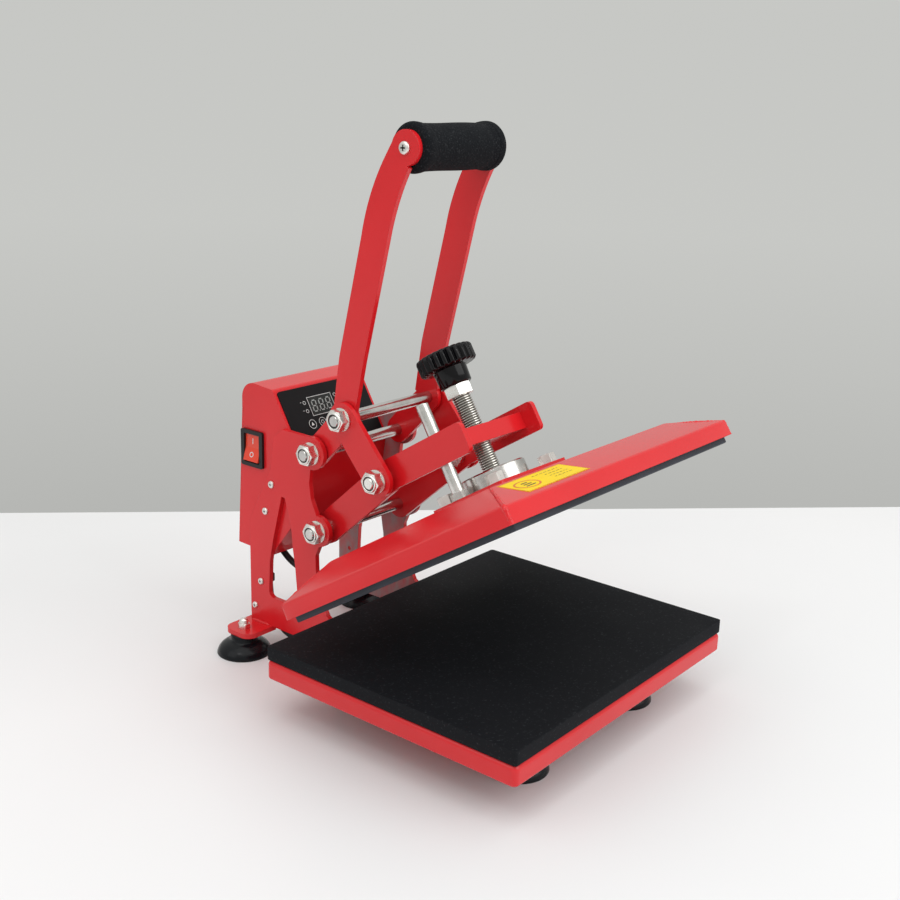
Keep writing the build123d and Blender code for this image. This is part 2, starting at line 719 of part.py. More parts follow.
def guide_bush():
    """Thin bronze bush in the crossbar, which the guide rod slides in."""
    top = CROSSBAR_BOTTOM + CROSSBAR_HEIGHT
    ring = rod_z(GUIDE_RADIUS + 1.0, CROSSBAR_BOTTOM, top, GUIDE[0], GUIDE[1])
    ring = ring - rod_z(GUIDE_RADIUS + RUNNING_GAP, 60, 100, GUIDE[0], GUIDE[1])
    return platen.location * ring


def arm_pin_nuts():
    """Inner ends of the strap pins: a stub and lock nut inside each arm."""
    stub = bar_x(STUD_RADIUS, -ARM_OUT, -ARM_IN + 7.5, STRAP_FOOT)
    nut = hex_x(NUT_FLATS, -ARM_IN, -ARM_IN + 6.0, STRAP_FOOT, STUD_RADIUS)
    return mirrored(stub) + mirrored(nut)


# ---------------------------------------------------------------- handle

def handle_bar():
    """Left handle bar: a short leg from the pivot to the strap, then up to the grip."""
    lower = capsule(HANDLE_PIVOT, STRAP_TOP, 12.3)
    y, z = STRAP_TOP
    front_foot, front_bend, front_top = HANDLE_FRONT_EDGE
    back_foot, back_bend, back_top = HANDLE_BACK_EDGE
    lobe_y, lobe_z = GRIP
    outline = make_face([
        Line((y - 9.0, z + 2.0), (y, z - 6.0)),
        Line((y, z - 6.0), (y + 15.0, z + 4.5)),
        Line((y + 15.0, z + 4.5), back_foot),
        Line(back_foot, back_bend),
        ThreePointArc(back_bend, (36.4, 420.0), back_top),
        Line(back_top, (lobe_y + 13.2, lobe_z + 4.0)),
        Line((lobe_y + 13.2, lobe_z + 4.0), front_top),
        ThreePointArc(front_top, (8.6, 418.0), front_bend),
        Line(front_bend, front_foot),
        Line(front_foot, (y - 9.0, z + 2.0)),
    ])
    bar = lower + outline + Pos(lobe_y, lobe_z) * Circle(GRIP_LOBE) + Pos(y, z) * Circle(12.3)
    bar = bar - Pos(HANDLE_PIVOT[0], HANDLE_PIVOT[1]) * Circle(STUD_RADIUS + RUNNING_GAP)
    bar = bar - Pos(y, z) * Circle(STUD_RADIUS) - Pos(lobe_y, lobe_z) * Circle(3.0)
    return slab(bar, -HANDLE_OUT, -HANDLE_IN)


def handle_cross_rod():
    """Shaft that joins the two handle bars and carries the straps."""
    middle = bar_x(ROD_RADIUS, -HANDLE_IN, HANDLE_IN, STRAP_TOP)
    reach = STRAP_OUT + WASHER_SHEET + NUT_HEIGHT + 1.0
    ends = bar_x(STUD_RADIUS, -reach, reach, STRAP_TOP)
    ends = chamfer(ends.faces().filter_by(GeomType.PLANE).edges(), 0.8)
    return middle + ends


def handle_rod_nuts():
    """Lock nuts and washers outside the straps on the handle's cross rod."""
    seat = -STRAP_OUT - 0.1
    washer = ring_x(WASHER_RADIUS, STUD_RADIUS, seat - WASHER_SHEET, seat, STRAP_TOP)
    nut = hex_x(NUT_FLATS, seat - WASHER_SHEET - NUT_HEIGHT, seat - WASHER_SHEET, STRAP_TOP, STUD_RADIUS)
    return mirrored(washer + nut)


def grip_tube():
    """Steel tube between the handle bars, with plugged and tapped ends."""
    tube = bar_x(GRIP_TUBE_RADIUS, -HANDLE_IN, HANDLE_IN, GRIP)
    bore = bar_x(GRIP_TUBE_RADIUS - 1.5, -HANDLE_IN + 14, HANDLE_IN - 14, GRIP)
    holes = bar_x(3.0, -HANDLE_IN - 1, HANDLE_IN + 1, GRIP)
    return tube - bore - holes


def foam_grip():
    """Thick foam sleeve over the grip tube."""
    end = HANDLE_IN - 0.4
    corner = (end, FOAM_END_RADIUS - 4.0)
    rounding = (end - 1.3, FOAM_END_RADIUS - 1.2)
    swelling = (end - 5.0, FOAM_END_RADIUS)
    waist = (end - 11.0, FOAM_RADIUS)
    half = make_face([
        Line((0, GRIP_TUBE_RADIUS), (end, GRIP_TUBE_RADIUS)),
        Line((end, GRIP_TUBE_RADIUS), corner),
        ThreePointArc(corner, rounding, swelling),
        Line(swelling, waist),
        Line(waist, (0, FOAM_RADIUS)),
        Line((0, FOAM_RADIUS), (0, GRIP_TUBE_RADIUS)),
    ])
    side = half + mirror(half, Plane.YZ)
    return Pos(0, GRIP[0], GRIP[1]) * revolve(side, Axis.X)


def grip_screws():
    """Pan-head screws through the bars into the grip tube."""
    head = bar_x(5.2, -HANDLE_OUT - 2.6, -HANDLE_OUT, GRIP)
    head = fillet(head.faces().sort_by(Axis.X)[0].edges(), 2.0)
    shank = bar_x(3.0, -HANDLE_OUT, -HANDLE_IN + 12, GRIP)
    return mirrored(head + shank)


# ---------------------------------------------------------------- straps

def strap():
    """Left strap from the handle's cross rod down to the arm."""
    outline = capsule(STRAP_TOP, STRAP_FOOT, LOBE_RADIUS)
    outline = outline - Pos(STRAP_TOP[0], STRAP_TOP[1]) * Circle(STUD_RADIUS + RUNNING_GAP)
    outline = outline - Pos(STRAP_FOOT[0], STRAP_FOOT[1]) * Circle(STUD_RADIUS)
    return slab(outline, -STRAP_OUT, -STRAP_IN)


def strap_pins():
    """Outer ends of the strap pins, each with its washer and lock nut."""
    seat = -STRAP_OUT - WASHER_SHEET
    stub = bar_x(STUD_RADIUS, seat - NUT_HEIGHT - 1.5, -ARM_OUT - 0.4, STRAP_FOOT)
    stub = chamfer(stub.faces().sort_by(Axis.X)[0].edges(), 0.8)
    washer = ring_x(WASHER_RADIUS, STUD_RADIUS, seat, -STRAP_OUT, STRAP_FOOT)
    nut = hex_x(NUT_FLATS, seat - NUT_HEIGHT, seat, STRAP_FOOT, STUD_RADIUS)
    return mirrored(stub + washer + nut)


def strap_spacers():
    """Spacer rings on the strap pins, between strap and arm."""
    return mirrored(ring_x(8.0, STUD_RADIUS, -STRAP_IN, -ARM_OUT - 0.4, STRAP_FOOT))


# ---------------------------------------------------------------- platen

def cover_form(shrink, low):
    """Outer or inner form of the cover: upright rim, sloping sides, flat top."""
    rim_x = COVER_WIDTH / 2 - shrink
    rim_y = COVER_DEPTH / 2 - shrink
    flat_x = rim_x - COVER_INSET_X
    flat_y = rim_y - COVER_INSET_Y
    top = COVER_TOP - shrink
    shoulder = COVER_WALL - shrink / 2
    rim = Pos(0, -COVER_DEPTH / 2, low) * RectangleRounded(2 * rim_x, 2 * rim_y, 3.0)
    edge = Pos(0, -COVER_DEPTH / 2, shoulder) * RectangleRounded(2 * rim_x - 2.5, 2 * rim_y - 2.5, 3.0)
    flat = Pos(0, -COVER_DEPTH / 2, top) * RectangleRounded(2 * flat_x, 2 * flat_y, 2.0)
    return loft([rim, edge], ruled=True) + loft([edge, flat], ruled=True)


def platen_cover():
    """Welded sheet cover over the heating plate, open underneath."""
    shell = cover_form(0.0, 0.0) - cover_form(COVER_SHEET, -1.0)
    for x, y in plate_bolt_places():
        shell = shell - rod_z(4.0, 20, 40, x, y)
    x, z = COVER_INLET
    shell = shell - Pos(x, 0, z) * Rot(90, 0, 0) * Cylinder(LEAD_RADIUS + 2.0, 12.0)
    return platen.location * shell


def cover_grommet():
    """Rubber grommet where the heater lead enters the cover's back wall."""
    x, z = COVER_INLET
    outer = LEAD_RADIUS + 2.0
    turn = Pos(x, 0, z) * Rot(90, 0, 0)
    sleeve = turn * (Cylinder(outer, 6.4) - Cylinder(LEAD_RADIUS, 8.0))
    lip = Pos(x, 2.2, z) * Rot(90, 0, 0) * (Cylinder(outer + 1.6, 2.0) - Cylinder(LEAD_RADIUS, 3.0))
    return platen.location * (Pos(0, 0.2, 0) * sleeve + lip)


def heating_plate():
    """Cast aluminium plate with the heater inside, held in the cover's mouth."""
    wide = COVER_WIDTH - 2 * HEATER_GAP
    deep = COVER_DEPTH - 2 * HEATER_GAP
    plate = Pos(0, -COVER_DEPTH / 2, HEATER_THICKNESS / 2 - HEATER_BELOW) * Box(wide, deep, HEATER_THICKNESS)
    plate = chamfer(plate.edges().filter_by(Axis.Z), 2.5)
    plate = chamfer(plate.faces().sort_by(Axis.Z)[0].edges(), 0.8)
    for x, y in plate_bolt_places():
        plate = plate - rod_z(4.0, 2.0, 20, x, y)
    return platen.location * plate


def insulation_pad():
    """Ceramic fibre blanket between the heating plate and the cover."""
    low = HEATER_THICKNESS - HEATER_BELOW
    high = 13.0
    blanket = Pos(0, -COVER_DEPTH / 2, (low + high) / 2) * Box(286.0, 226.0, high - low)
    for x, y in plate_bolt_places():
        blanket = blanket - rod_z(4.0, 0, 20, x, y)
    return platen.location * blanket


def plate_bolt_places():
    """Four bolts round the screw's boss."""
    return [(x, PLATEN_MIDDLE + y) for x in (-36.0, 36.0) for y in (-28.0, 28.0)]


def top_plate():
    """Square red mounting plate on the cover's flat top."""
    wide, deep, thick = MOUNT_PLATE
    plate = Pos(0, PLATEN_MIDDLE) * RectangleRounded(wide, deep, 4.0)
    for x, y in plate_bolt_places():
        plate = plate - Pos(x, y) * Circle(4.0)
    plate = plate - Pos(GUIDE[0], GUIDE[1]) * Circle(4.0)
    return platen.location * Pos(0, 0, COVER_TOP) * extrude(plate, thick)


def thrust_boss():
    """Turned steel boss that holds the lower end of the pressure screw."""
    seat = COVER_TOP + MOUNT_PLATE[2]
    boss = rod_z(BOSS_RADIUS, seat, seat + BOSS_HEIGHT, 0, SCREW_Y)
    boss = chamfer(boss.faces().sort_by(Axis.Z)[-1].edges(), 1.2)
    boss = boss - rod_z(SCREW_RADIUS + RUNNING_GAP, seat + 2.5, seat + 20, 0, SCREW_Y)
    return platen.location * boss


def guide_rod():
    """Polished rod that keeps the platen square to the arms, with its foot nut."""
    seat = COVER_TOP + MOUNT_PLATE[2]
    x, y = GUIDE
    rod = rod_z(GUIDE_RADIUS, seat, GUIDE_TOP, x, y)
    rod = chamfer(rod.faces().sort_by(Axis.Z)[-1].edges(), 0.8)
    foot = rod_z(4.0, COVER_TOP, seat, x, y)
    nut = hex_z(13.0, seat, seat + 6.0, x, y, GUIDE_RADIUS)
    return [platen.location * (rod + foot), platen.location * nut]


def plate_bolts():
    """Hexagon bolts through the mounting plate and cover into the heating plate."""
    seat = COVER_TOP + MOUNT_PLATE[2]
    bolts = []
    for x, y in plate_bolt_places():
        head = hex_z(13.0, seat, seat + 8.0, x, y)
        shank = rod_z(4.0, 2.0, seat, x, y)
        bolts.append(platen.location * (head + shank))
    return bolts


def cover_label():
    """Plain yellow sticker on the cover's sloping front."""
    rim_y = COVER_DEPTH - 1.25
    flat_y = COVER_DEPTH - COVER_INSET_Y
    rise = COVER_TOP - COVER_WALL
    run = rim_y - flat_y
    slope = degrees(atan2(rise, run))
    label = Box(76.0, 28.0, 0.3, align=(Align.CENTER, Align.CENTER, Align.MIN))
    place = Pos(-80.5, -(rim_y + flat_y) / 2, (COVER_WALL + COVER_TOP) / 2) * Rot(slope, 0, 0)
    return platen.location * place * Pos(0, 1.6, 0.02) * label


# ---------------------------------------------------------------- pressure screw

def pressure_screw():
    """Long pressure screw, from the boss up into the knob."""
    foot = COVER_TOP + MOUNT_PLATE[2] + 2.6
    screw = rod_z(SCREW_RADIUS, foot, SCREW_TOP, 0, SCREW_Y)
    return platen.location * chamfer(screw.faces().filter_by(GeomType.PLANE).edges(), 0.8)


def screw_locknut():
    """Thin lock nut under the knob."""
    low, high = KNOB_HUB[0] - 9.5, KNOB_HUB[0]
    nut = Rot(0, 0, LOCKNUT_TURN) * hex_z(LOCKNUT_FLATS, low, high, 0, 0, SCREW_RADIUS)
    return platen.location * Pos(0, SCREW_Y, 0) * nut


def knob():
    """Fluted hand knob on a tapered hub."""
    low, mid = KNOB_HUB
    top = mid + KNOB_RIM_HEIGHT
    rim = Circle(KNOB_RADIUS)
    flutes = 24
    for i in range(flutes):
        rim = rim - Rot(0, 0, i * 360 / flutes) * Pos(KNOB_RADIUS + 1.0, 0) * Circle(2.0)
    body = Pos(0, SCREW_Y, mid) * extrude(rim, KNOB_RIM_HEIGHT)
    hub = loft([Circle(KNOB_HUB_RADIUS - 1.0), Pos(0, 0, mid - low) * Circle(KNOB_HUB_RADIUS)])
    body = body + Pos(0, SCREW_Y, low) * hub
    body = body - rod_z(SCREW_RADIUS, low - 1, SCREW_TOP, 0, SCREW_Y)
    dish = Pos(0, SCREW_Y, top - 2.0) * extrude(Circle(KNOB_RADIUS - 7.0), 3.0)
    return platen.location * (body - dish)


def save(name, shape):
    """Write one node, as one solid or as a group of separate solids."""
    if isinstance(shape, list):
        solids = []
        for piece in shape:
            solids += piece.solids()
        shape = Compound(children=solids)
    export_step(shape, "parts/" + name + ".step")


def main():
    """Make every node of the machine."""
    os.makedirs("parts", exist_ok=True)
    left_plate = side_plate()
    left_arm = arm()
    left_bar = handle_bar()
    left_strap = strap()
    cord = power_cord()
    save("lower_tray", lower_tray())
    save("base_pad", base_pad())
    save("left_side_plate", left_plate)
    save("right_side_plate", mirror(left_plate, Plane.YZ))
    save("tray_cross_bars", tray_cross_bars())
    save("frame_screws", frame_screws())
    save("suction_feet", suction_feet())
    save("foot_nuts", foot_nuts())
    save("control_box", control_box())
    save("box_back_cover", box_back_cover())
    save("box_screws", box_screws())
    save("control_panel", control_panel())
    save("display_window", display_window())
    save("panel_buttons", panel_buttons())
    save("rocker_bezel", rocker_bezel())
    save("power_rocker", power_rocker())
    save("control_board", control_board())
    save("heater_relay", heater_relay())
    save("cord_gland", cord_gland())
    save("heater_lead_gland", heater_lead_gland())
    save("heater_lead", heater_lead())
    save("power_cord", cord)
    save("cord_coil", cord_coil(cord))
    save("power_plug", power_plug())
    save("cord_clips", cord_clips())
    save("clip_screws", clip_screws())
    save("handle_pivot_rod", pivot_rod(HANDLE_PIVOT, HANDLE_IN - 0.1))
    save("arm_pivot_rod", pivot_rod(ARM_PIVOT, ARM_IN - 0.1))
    save("pivot_nuts", pivot_nuts())
    save("pivot_washers", pivot_washers())
    save("pivot_spacers", pivot_spacers())
    save("left_arm", left_arm)
    save("right_arm", mirror(left_arm, Plane.YZ))
    save("crossbar", crossbar())
    save("guide_bush", guide_bush())
    save("arm_pin_nuts", arm_pin_nuts())
    save("left_handle_bar", left_bar)
    save("right_handle_bar", mirror(left_bar, Plane.YZ))
    save("handle_cross_rod", handle_cross_rod())
    save("handle_rod_nuts", handle_rod_nuts())
    save("grip_tube", grip_tube())
    save("foam_grip", foam_grip())
    save("grip_screws", grip_screws())
    save("left_strap", left_strap)
    save("right_strap", mirror(left_strap, Plane.YZ))
    save("strap_pins", strap_pins())
    save("strap_spacers", strap_spacers())
    save("platen_cover", platen_cover())
    save("cover_grommet", cover_grommet())
    save("heating_plate", heating_plate())
    save("insulation_pad", insulation_pad())
    save("top_plate", top_plate())
    save("thrust_boss", thrust_boss())
    save("guide_rod", guide_rod())
    save("plate_bolts", plate_bolts())
    save("cover_label", cover_label())
    save("pressure_screw", pressure_screw())
    save("screw_locknut", screw_locknut())
    save("knob", knob())


main()
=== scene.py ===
import json
import random
from math import atan2, cos, pi, radians, sin

import bmesh
import bpy
from mathutils import Matrix, Vector


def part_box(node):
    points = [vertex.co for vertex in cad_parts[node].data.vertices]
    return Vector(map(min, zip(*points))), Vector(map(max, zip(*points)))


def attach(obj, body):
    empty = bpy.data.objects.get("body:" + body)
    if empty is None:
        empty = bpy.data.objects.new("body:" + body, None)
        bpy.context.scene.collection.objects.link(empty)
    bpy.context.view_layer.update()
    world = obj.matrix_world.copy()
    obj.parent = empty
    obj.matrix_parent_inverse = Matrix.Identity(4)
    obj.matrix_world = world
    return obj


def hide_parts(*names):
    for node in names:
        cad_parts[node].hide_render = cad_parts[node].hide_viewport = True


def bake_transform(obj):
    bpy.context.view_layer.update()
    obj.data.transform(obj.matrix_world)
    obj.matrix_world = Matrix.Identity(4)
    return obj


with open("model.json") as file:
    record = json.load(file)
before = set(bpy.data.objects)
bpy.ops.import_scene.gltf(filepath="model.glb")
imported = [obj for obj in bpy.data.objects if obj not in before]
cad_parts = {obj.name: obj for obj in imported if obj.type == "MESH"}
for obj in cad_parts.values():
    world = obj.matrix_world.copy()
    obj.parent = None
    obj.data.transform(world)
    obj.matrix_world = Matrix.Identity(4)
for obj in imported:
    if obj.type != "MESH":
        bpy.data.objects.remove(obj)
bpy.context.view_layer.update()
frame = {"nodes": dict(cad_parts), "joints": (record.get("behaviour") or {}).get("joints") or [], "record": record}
nodes = frame["nodes"]
joints = {joint["name"]: joint for joint in frame["joints"]}

# ---- places read from the frame, in metres ----
OPEN_ANGLE = radians(joints["arm_swing"]["range_deg"][1])
HANDLE_PIVOT = Vector(joints["handle_pull"]["pos_m"])
ARM_PIVOT = Vector(joints["arm_swing"]["pos_m"])
STRAP_TOP = Vector(joints["strap_swing"]["pos_m"])
ROCKER_PIVOT = Vector(joints["rocker_tip"]["pos_m"])

# ---- platen frame: x across, y towards the hinge, z away from the heated face ----
RIM_BACK = (0.0278, 0.0967)  # the frame's origin in the row frame, as (y, z)
COVER_SIZE = (0.3158, 0.255)
COVER_WALL = 0.0132  # height of the upright edge
WALL_LEAN = 0.00125  # how far it leans in
COVER_TOP = 0.0304
COVER_INSET = 0.0358  # from the rim to the flat top
COVER_SHEET = 0.0016
MOUTH_INSET = 0.118  # from the rim to the hole that the mounting plate hides
SLOPE_LOW, SLOPE_HIGH = 0.25375, 0.219  # the front slope's foot and top, from the back rim
SCREW_Y = -0.126
SCREW_FOOT = 0.0386
SCREW_TOP = 0.140
KNOB_LOW = 0.125
LABEL_MIDDLE = -0.0805  # along X, on the front slope
LABEL_SIZE = (0.076, 0.028)
RING_PLACE = (-0.0215, -0.0005)  # from the middle of the label
INK_THICK = 0.00004

# ---- side plates and feet ----
PLATE_OUT = 0.061  # the plates' outer faces, along X
TAB_TOP = 0.0233
FOOT_RADIUS = 0.025
SIDES = ((-1, "left"), (1, "right"))
# (side, whether at the end that comes first)
FOUR_CORNERS = ((-1, True), (1, True), (-1, False), (1, False))

# ---- control panel plane, from the foot of the slope to its top, as (y, z) ----
SLOPE_FOOT = (0.115, 0.1923)
SLOPE_TOP = (0.1487, 0.2472)
PANEL_FILM = 0.0008
PRINT_LINE = 0.0005

# ---- mains cord: the part's own route, then the coil ----
CORD_DIAMETER = 0.007
CORD_ROUTE = [
    (-0.049, 0.1655, 0.096),
    (-0.049, 0.1655, 0.0595),
    (-0.0505, 0.1595, 0.033),
    (-0.046, 0.1498, 0.0144),
    (-0.037, 0.133, 0.0035),
    (-0.028, 0.113, 0.0035),
    (-0.0245, 0.090, 0.0035),
    (-0.0255, 0.066, 0.0035),
    (-0.0295, 0.043, 0.0035),
    (-0.034, 0.022, 0.0035),
    (-0.0353, 0.006, 0.0035),
    (-0.0355, -0.008, 0.0035),
]
COIL_MIDDLE = (0.010, -0.020)
COIL_TURNS = [  # (radius, height)
    (0.0455, 0.0035), (0.0385, 0.0035), (0.0315, 0.0035), (0.035, 0.0096), (0.042, 0.0096),
]
CORD_TAIL = [(-0.008, 0.0107), (-0.021, 0.0104)]  # (y from the coil's middle, z)
PLUG_LONG = 0.049
PLUG_HEIGHT = 0.0095
PLUG_GRIP = 0.001  # how far the cord reaches into the plug's sleeve

# ---- heater lead: the part's own route, and its end in the platen's frame ----
LEAD_DIAMETER = 0.006
LEAD_ROUTE = [
    (-0.038, 0.166, 0.0982),
    (-0.038, 0.1545, 0.086),
    (-0.038, 0.138, 0.079),
    (-0.038, 0.117, 0.074),
    (-0.038, 0.095, 0.074),
    (-0.038, 0.074, 0.080),
]
LEAD_INLET = [(-0.038, 0.024, 0.008), (-0.038, -0.0048, 0.008)]

# ---- camera, as the photograph was taken, and the table and room ----
CAMERA_PLACE = (-0.77549, -0.6304, 0.50166)
CAMERA_YAW = radians(-51.249)
CAMERA_PITCH = radians(16.203)
CAMERA_ROLL = radians(1.573)
CAMERA_LENS = 49.063
TABLE_EDGE = [(-0.0232, 0.6686, 0), (0.7765, -0.1387, 0)]
TABLE_SHEET = 0.03
TABLE_HALF, TABLE_DEEP = 3, 3.2
ROOM_GREYS = [  # (place between straight down and straight up, grey)
    (0.0, 0.42), (0.335, 0.46), (0.40, 0.53), (0.45, 0.575), (0.53, 0.57), (0.70, 0.66),
    (1.0, 0.85),
]

# ---- meshes ----
SHARP_ANGLE = 35.0
SAME_POINT = 1e-7
CORNER_POINTS = 6
AXIS = 0.0001  # the smallest radius of a turned piece


# -------------------- material helpers

class Graph:
    """One material's node tree, with short calls for adding and joining nodes."""

    # socket numbers of a Mix node that mixes colours
    MIX_FACTOR, MIX_FIRST, MIX_SECOND, MIX_RESULT = 0, 6, 7, 2

    def __init__(self, name, colour, rough, metal=0.0, **sockets):
        self.material = bpy.data.materials.new(name)
        self.material.use_nodes = True
        self.material.diffuse_color = (*colour, 1.0)
        self.tree = self.material.node_tree
        self.shader = self.tree.nodes["Principled BSDF"]
        self.put(self.shader, "Base Color", (*colour, 1.0))
        self.put(self.shader, "Roughness", rough)
        self.put(self.shader, "Metallic", metal)
        for socket, value in sockets.items():
            self.put(self.shader, socket.replace("_", " "), value)
        self.place = self.tree.nodes.new("ShaderNodeTexCoord").outputs["Object"]

    def put(self, node, socket, value):
        """Set a socket, by name or number, to a value, or join it to another node's output."""
        if isinstance(value, bpy.types.NodeSocket):
            self.tree.links.new(value, node.inputs[socket])
        else:
            node.inputs[socket].default_value = value

    def add(self, kind, output, settings=None, **sockets):
        """A new node with these settings and sockets. Returns its named output."""
        node = self.tree.nodes.new("ShaderNode" + kind)
        for key, value in (settings or {}).items():
            setattr(node, key, value)
        for socket, value in sockets.items():
            self.put(node, socket.replace("_", " "), value)
        return node.outputs[output]

    def stretched(self, scale, turn=0.0):
        """Object coordinates turned about X and scaled on each axis."""
        rotation = (turn, 0.0, 0.0)
        return self.add("Mapping", "Vector", Vector=self.place, Rotation=rotation, Scale=scale)

    def noise(self, scale, detail, where=None):
        """Noise of this scale, in object coordinates or in those of where."""
        return self.add("TexNoise", "Fac", Vector=where or self.place, Scale=scale, Detail=detail)

    def between(self, fac, low, high, start=0.3, end=0.7):
        """A value that runs from low to high as fac runs from start to end."""
        return self.add(
            "MapRange", "Result", Value=fac, From_Min=start, From_Max=end, To_Min=low, To_Max=high,
        )

    def mix(self, fac, first, second):
        """A colour mixed from two colours or outputs."""
        node = self.tree.nodes.new("ShaderNodeMix")
        node.data_type = "RGBA"
        self.put(node, self.MIX_FACTOR, fac)
        for socket, colour in ((self.MIX_FIRST, first), (self.MIX_SECOND, second)):
            self.put(node, socket, (*colour, 1.0) if isinstance(colour, tuple) else colour)
        return node.outputs[self.MIX_RESULT]

    def bump(self, height, depth, strength, under=None):
        """Fine relief, on top of another normal where under gives one, as the shader's normal."""
        sockets = {"Height": height, "Distance": depth, "Strength": strength}
        if under is not None:
            sockets["Normal"] = under
        normal = self.add("Bump", "Normal", **sockets)
        self.put(self.shader, "Normal", normal)
        return normal

    def times(self, first, second):
        """Two outputs multiplied."""
        node = self.tree.nodes.new("ShaderNodeMath")
        node.operation = "MULTIPLY"
        self.put(node, 0, first)
        self.put(node, 1, second)
        return node.outputs[0]

    def soft_edges(self, radius):
        """Normals rounded over the edges by this radius."""
        return self.add("Bevel", "Normal", {"samples": 4}, Radius=radius)


def powder_coat(name, inward=0.0, rough=0.18):
    """Semi-gloss red powder coat. On faces that point inward along X it has greyish streaks: partly a thin coat,
    partly a painted reflection of the pale room on the shaded red.
    """
    g = Graph(name, (0.66, 0.012, 0.018), rough, Specular_IOR_Level=0.45)
    cloud = g.noise(9.0, 4.0)
    colour = g.mix(g.between(cloud, 0.0, 1.0), (0.63, 0.011, 0.016), (0.69, 0.014, 0.020))
    speck = g.between(g.noise(1500.0, 1.0), 0.0, 1.0, 0.66, 0.78)
    colour = g.mix(g.between(speck, 0.0, 0.25, 0.0, 1.0), colour, (0.78, 0.08, 0.08))
    # greyish streaks on inward faces: partly thin coat, partly a painted reflection of the room on the shaded
    # inner red
    if inward:
        streaks = g.noise(90.0, 8.0, g.stretched((1.0, 1.0, 0.5)))
        thin_coat_and_painted_sheen = g.between(streaks, 0.55, 1.0, 0.38, 0.6)
        side = g.add("SeparateXYZ", "X", Vector=g.add("NewGeometry", "Normal"))
        faces_in = g.between(side, 0.0, 1.0, 0.5 * inward, 0.9 * inward)
        colour = g.mix(g.times(thin_coat_and_painted_sheen, faces_in), colour, (0.33, 0.20, 0.205))
    g.put(g.shader, "Base Color", colour)
    g.put(g.shader, "Roughness", g.between(cloud, rough, rough * 1.4))
    edges = g.soft_edges(0.0007)
    peel = g.bump(g.noise(420.0, 2.0), 0.00006, 0.5, edges)
    g.bump(g.noise(38.0, 1.0), 0.0004, 0.25, peel)
    return g.material


def metal(
    name, colour, rough, grain, depth, stretch=(1.0, 1.0, 1.0), tilt=0.0, dirt=0.12, edge=0.0004,
):
    """Bare or plated metal with fine marks that may run one way."""
    g = Graph(name, colour, rough, 1.0)
    marks = g.noise(grain, 3.0, g.stretched(stretch, tilt))
    smudge = g.noise(70.0, 4.0)
    dark = tuple(c * (1.0 - 3.5 * dirt) for c in colour)
    g.put(g.shader, "Base Color", g.mix(g.between(smudge, 0.0, 1.0, 0.35, 0.75), colour, dark))
    g.put(g.shader, "Roughness", g.between(marks, rough * 0.9, rough * 1.15))
    g.bump(marks, depth, 0.3, g.soft_edges(edge) if edge else None)
    return g.material


def moulded(name, colour, rough, grain=900.0, depth=0.00003, shine=0.4, spread=0.25, edge=0.0004):
    """Plastic, rubber or foam with a fine grain."""
    g = Graph(name, colour, rough, Specular_IOR_Level=shine)
    cloud = g.noise(25.0, 4.0)
    lighter = tuple(min(1.0, c * (1.0 + spread)) for c in colour)
    darker = tuple(c * (1.0 - spread) for c in colour)
    g.put(g.shader, "Base Color", g.mix(g.between(cloud, 0.0, 1.0), darker, lighter))
    g.put(g.shader, "Roughness", g.between(cloud, rough * 0.9, min(1.0, rough * 1.1)))
    g.bump(g.noise(grain, 3.0), depth, 0.8, g.soft_edges(edge))
    return g.material


def foam_skin(name):
    """Black foam rubber: tiny open cells and lint."""
    g = Graph(name, (0.008, 0.009, 0.010), 0.95, Specular_IOR_Level=0.16)
    cells = g.add("TexVoronoi", "Distance", Vector=g.place, Scale=750.0)
    lint = g.between(g.noise(900.0, 3.0), 0.0, 1.0, 0.56, 0.72)
    g.put(g.shader, "Base Color", g.mix(lint, (0.006, 0.007, 0.009), (0.035, 0.037, 0.040)))
    grain = g.bump(cells, 0.0003, 1.0)
    g.bump(g.noise(260.0, 4.0), 0.0006, 0.8, grain)
    return g.material


def pad_skin(name):
    """Matt black silicone pad with a fine cloth-like grain and a little dust."""
    g = Graph(name, (0.006, 0.007, 0.009), 0.80, Specular_IOR_Level=0.16)
    dust = g.between(g.noise(520.0, 2.0), 0.0, 0.8, 0.60, 0.74)
    stain = g.between(g.noise(7.0, 5.0), 0.0, 1.0, 0.3, 0.8)
    base = g.mix(stain, (0.0045, 0.005, 0.007), (0.008, 0.0085, 0.011))
    g.put(g.shader, "Base Color", g.mix(dust, base, (0.032, 0.034, 0.038)))
    g.put(g.shader, "Roughness", g.between(stain, 0.72, 0.84))
    grain = g.bump(g.noise(1500.0, 2.0), 0.00008, 0.6)
    g.bump(g.noise(24.0, 2.0), 0.0006, 0.2, grain)
    return g.material


def plain_floor(name):
    """Pale table top with a hardly visible grain."""
    g = Graph(name, (0.83, 0.825, 0.84), 0.42, Specular_IOR_Level=0.35)
    cloud = g.between(g.noise(2.2, 3.0), 0.0, 1.0)
    g.put(g.shader, "Base Color", g.mix(cloud, (0.815, 0.812, 0.828), (0.84, 0.835, 0.85)))
    g.bump(g.noise(700.0, 2.0), 0.00004, 0.3)
    return g.material


RED = powder_coat("red_powder_coat_paint")
RED_LEFT = powder_coat("red_powder_coat_left", inward=1.0)
RED_RIGHT = powder_coat("red_powder_coat_right", inward=-1.0)
RED_WELD = powder_coat("red_powder_coat_thick", rough=0.07)
BLACK_STEEL = moulded("black_steel_paint", (0.03, 0.03, 0.032), 0.4, 500.0)
TURNED = metal(
    "turned_steel_marks", (0.74, 0.73, 0.70), 0.24, 90.0, 0.00001, (1.0, 1.0, 14.0), -OPEN_ANGLE,
)
SHAFT = metal("shaft_steel", (0.66, 0.64, 0.62), 0.20, 60.0, 0.00001, (14.0, 1.0, 1.0), dirt=0.08)
NICKEL = metal("bright_nickel_plate", (0.88, 0.87, 0.83), 0.27, 300.0, 0.00001, dirt=0.05)
THREAD = metal("thread_nickel", (0.84, 0.82, 0.76), 0.22, 500.0, 0.000005, dirt=0.06, edge=0.0)
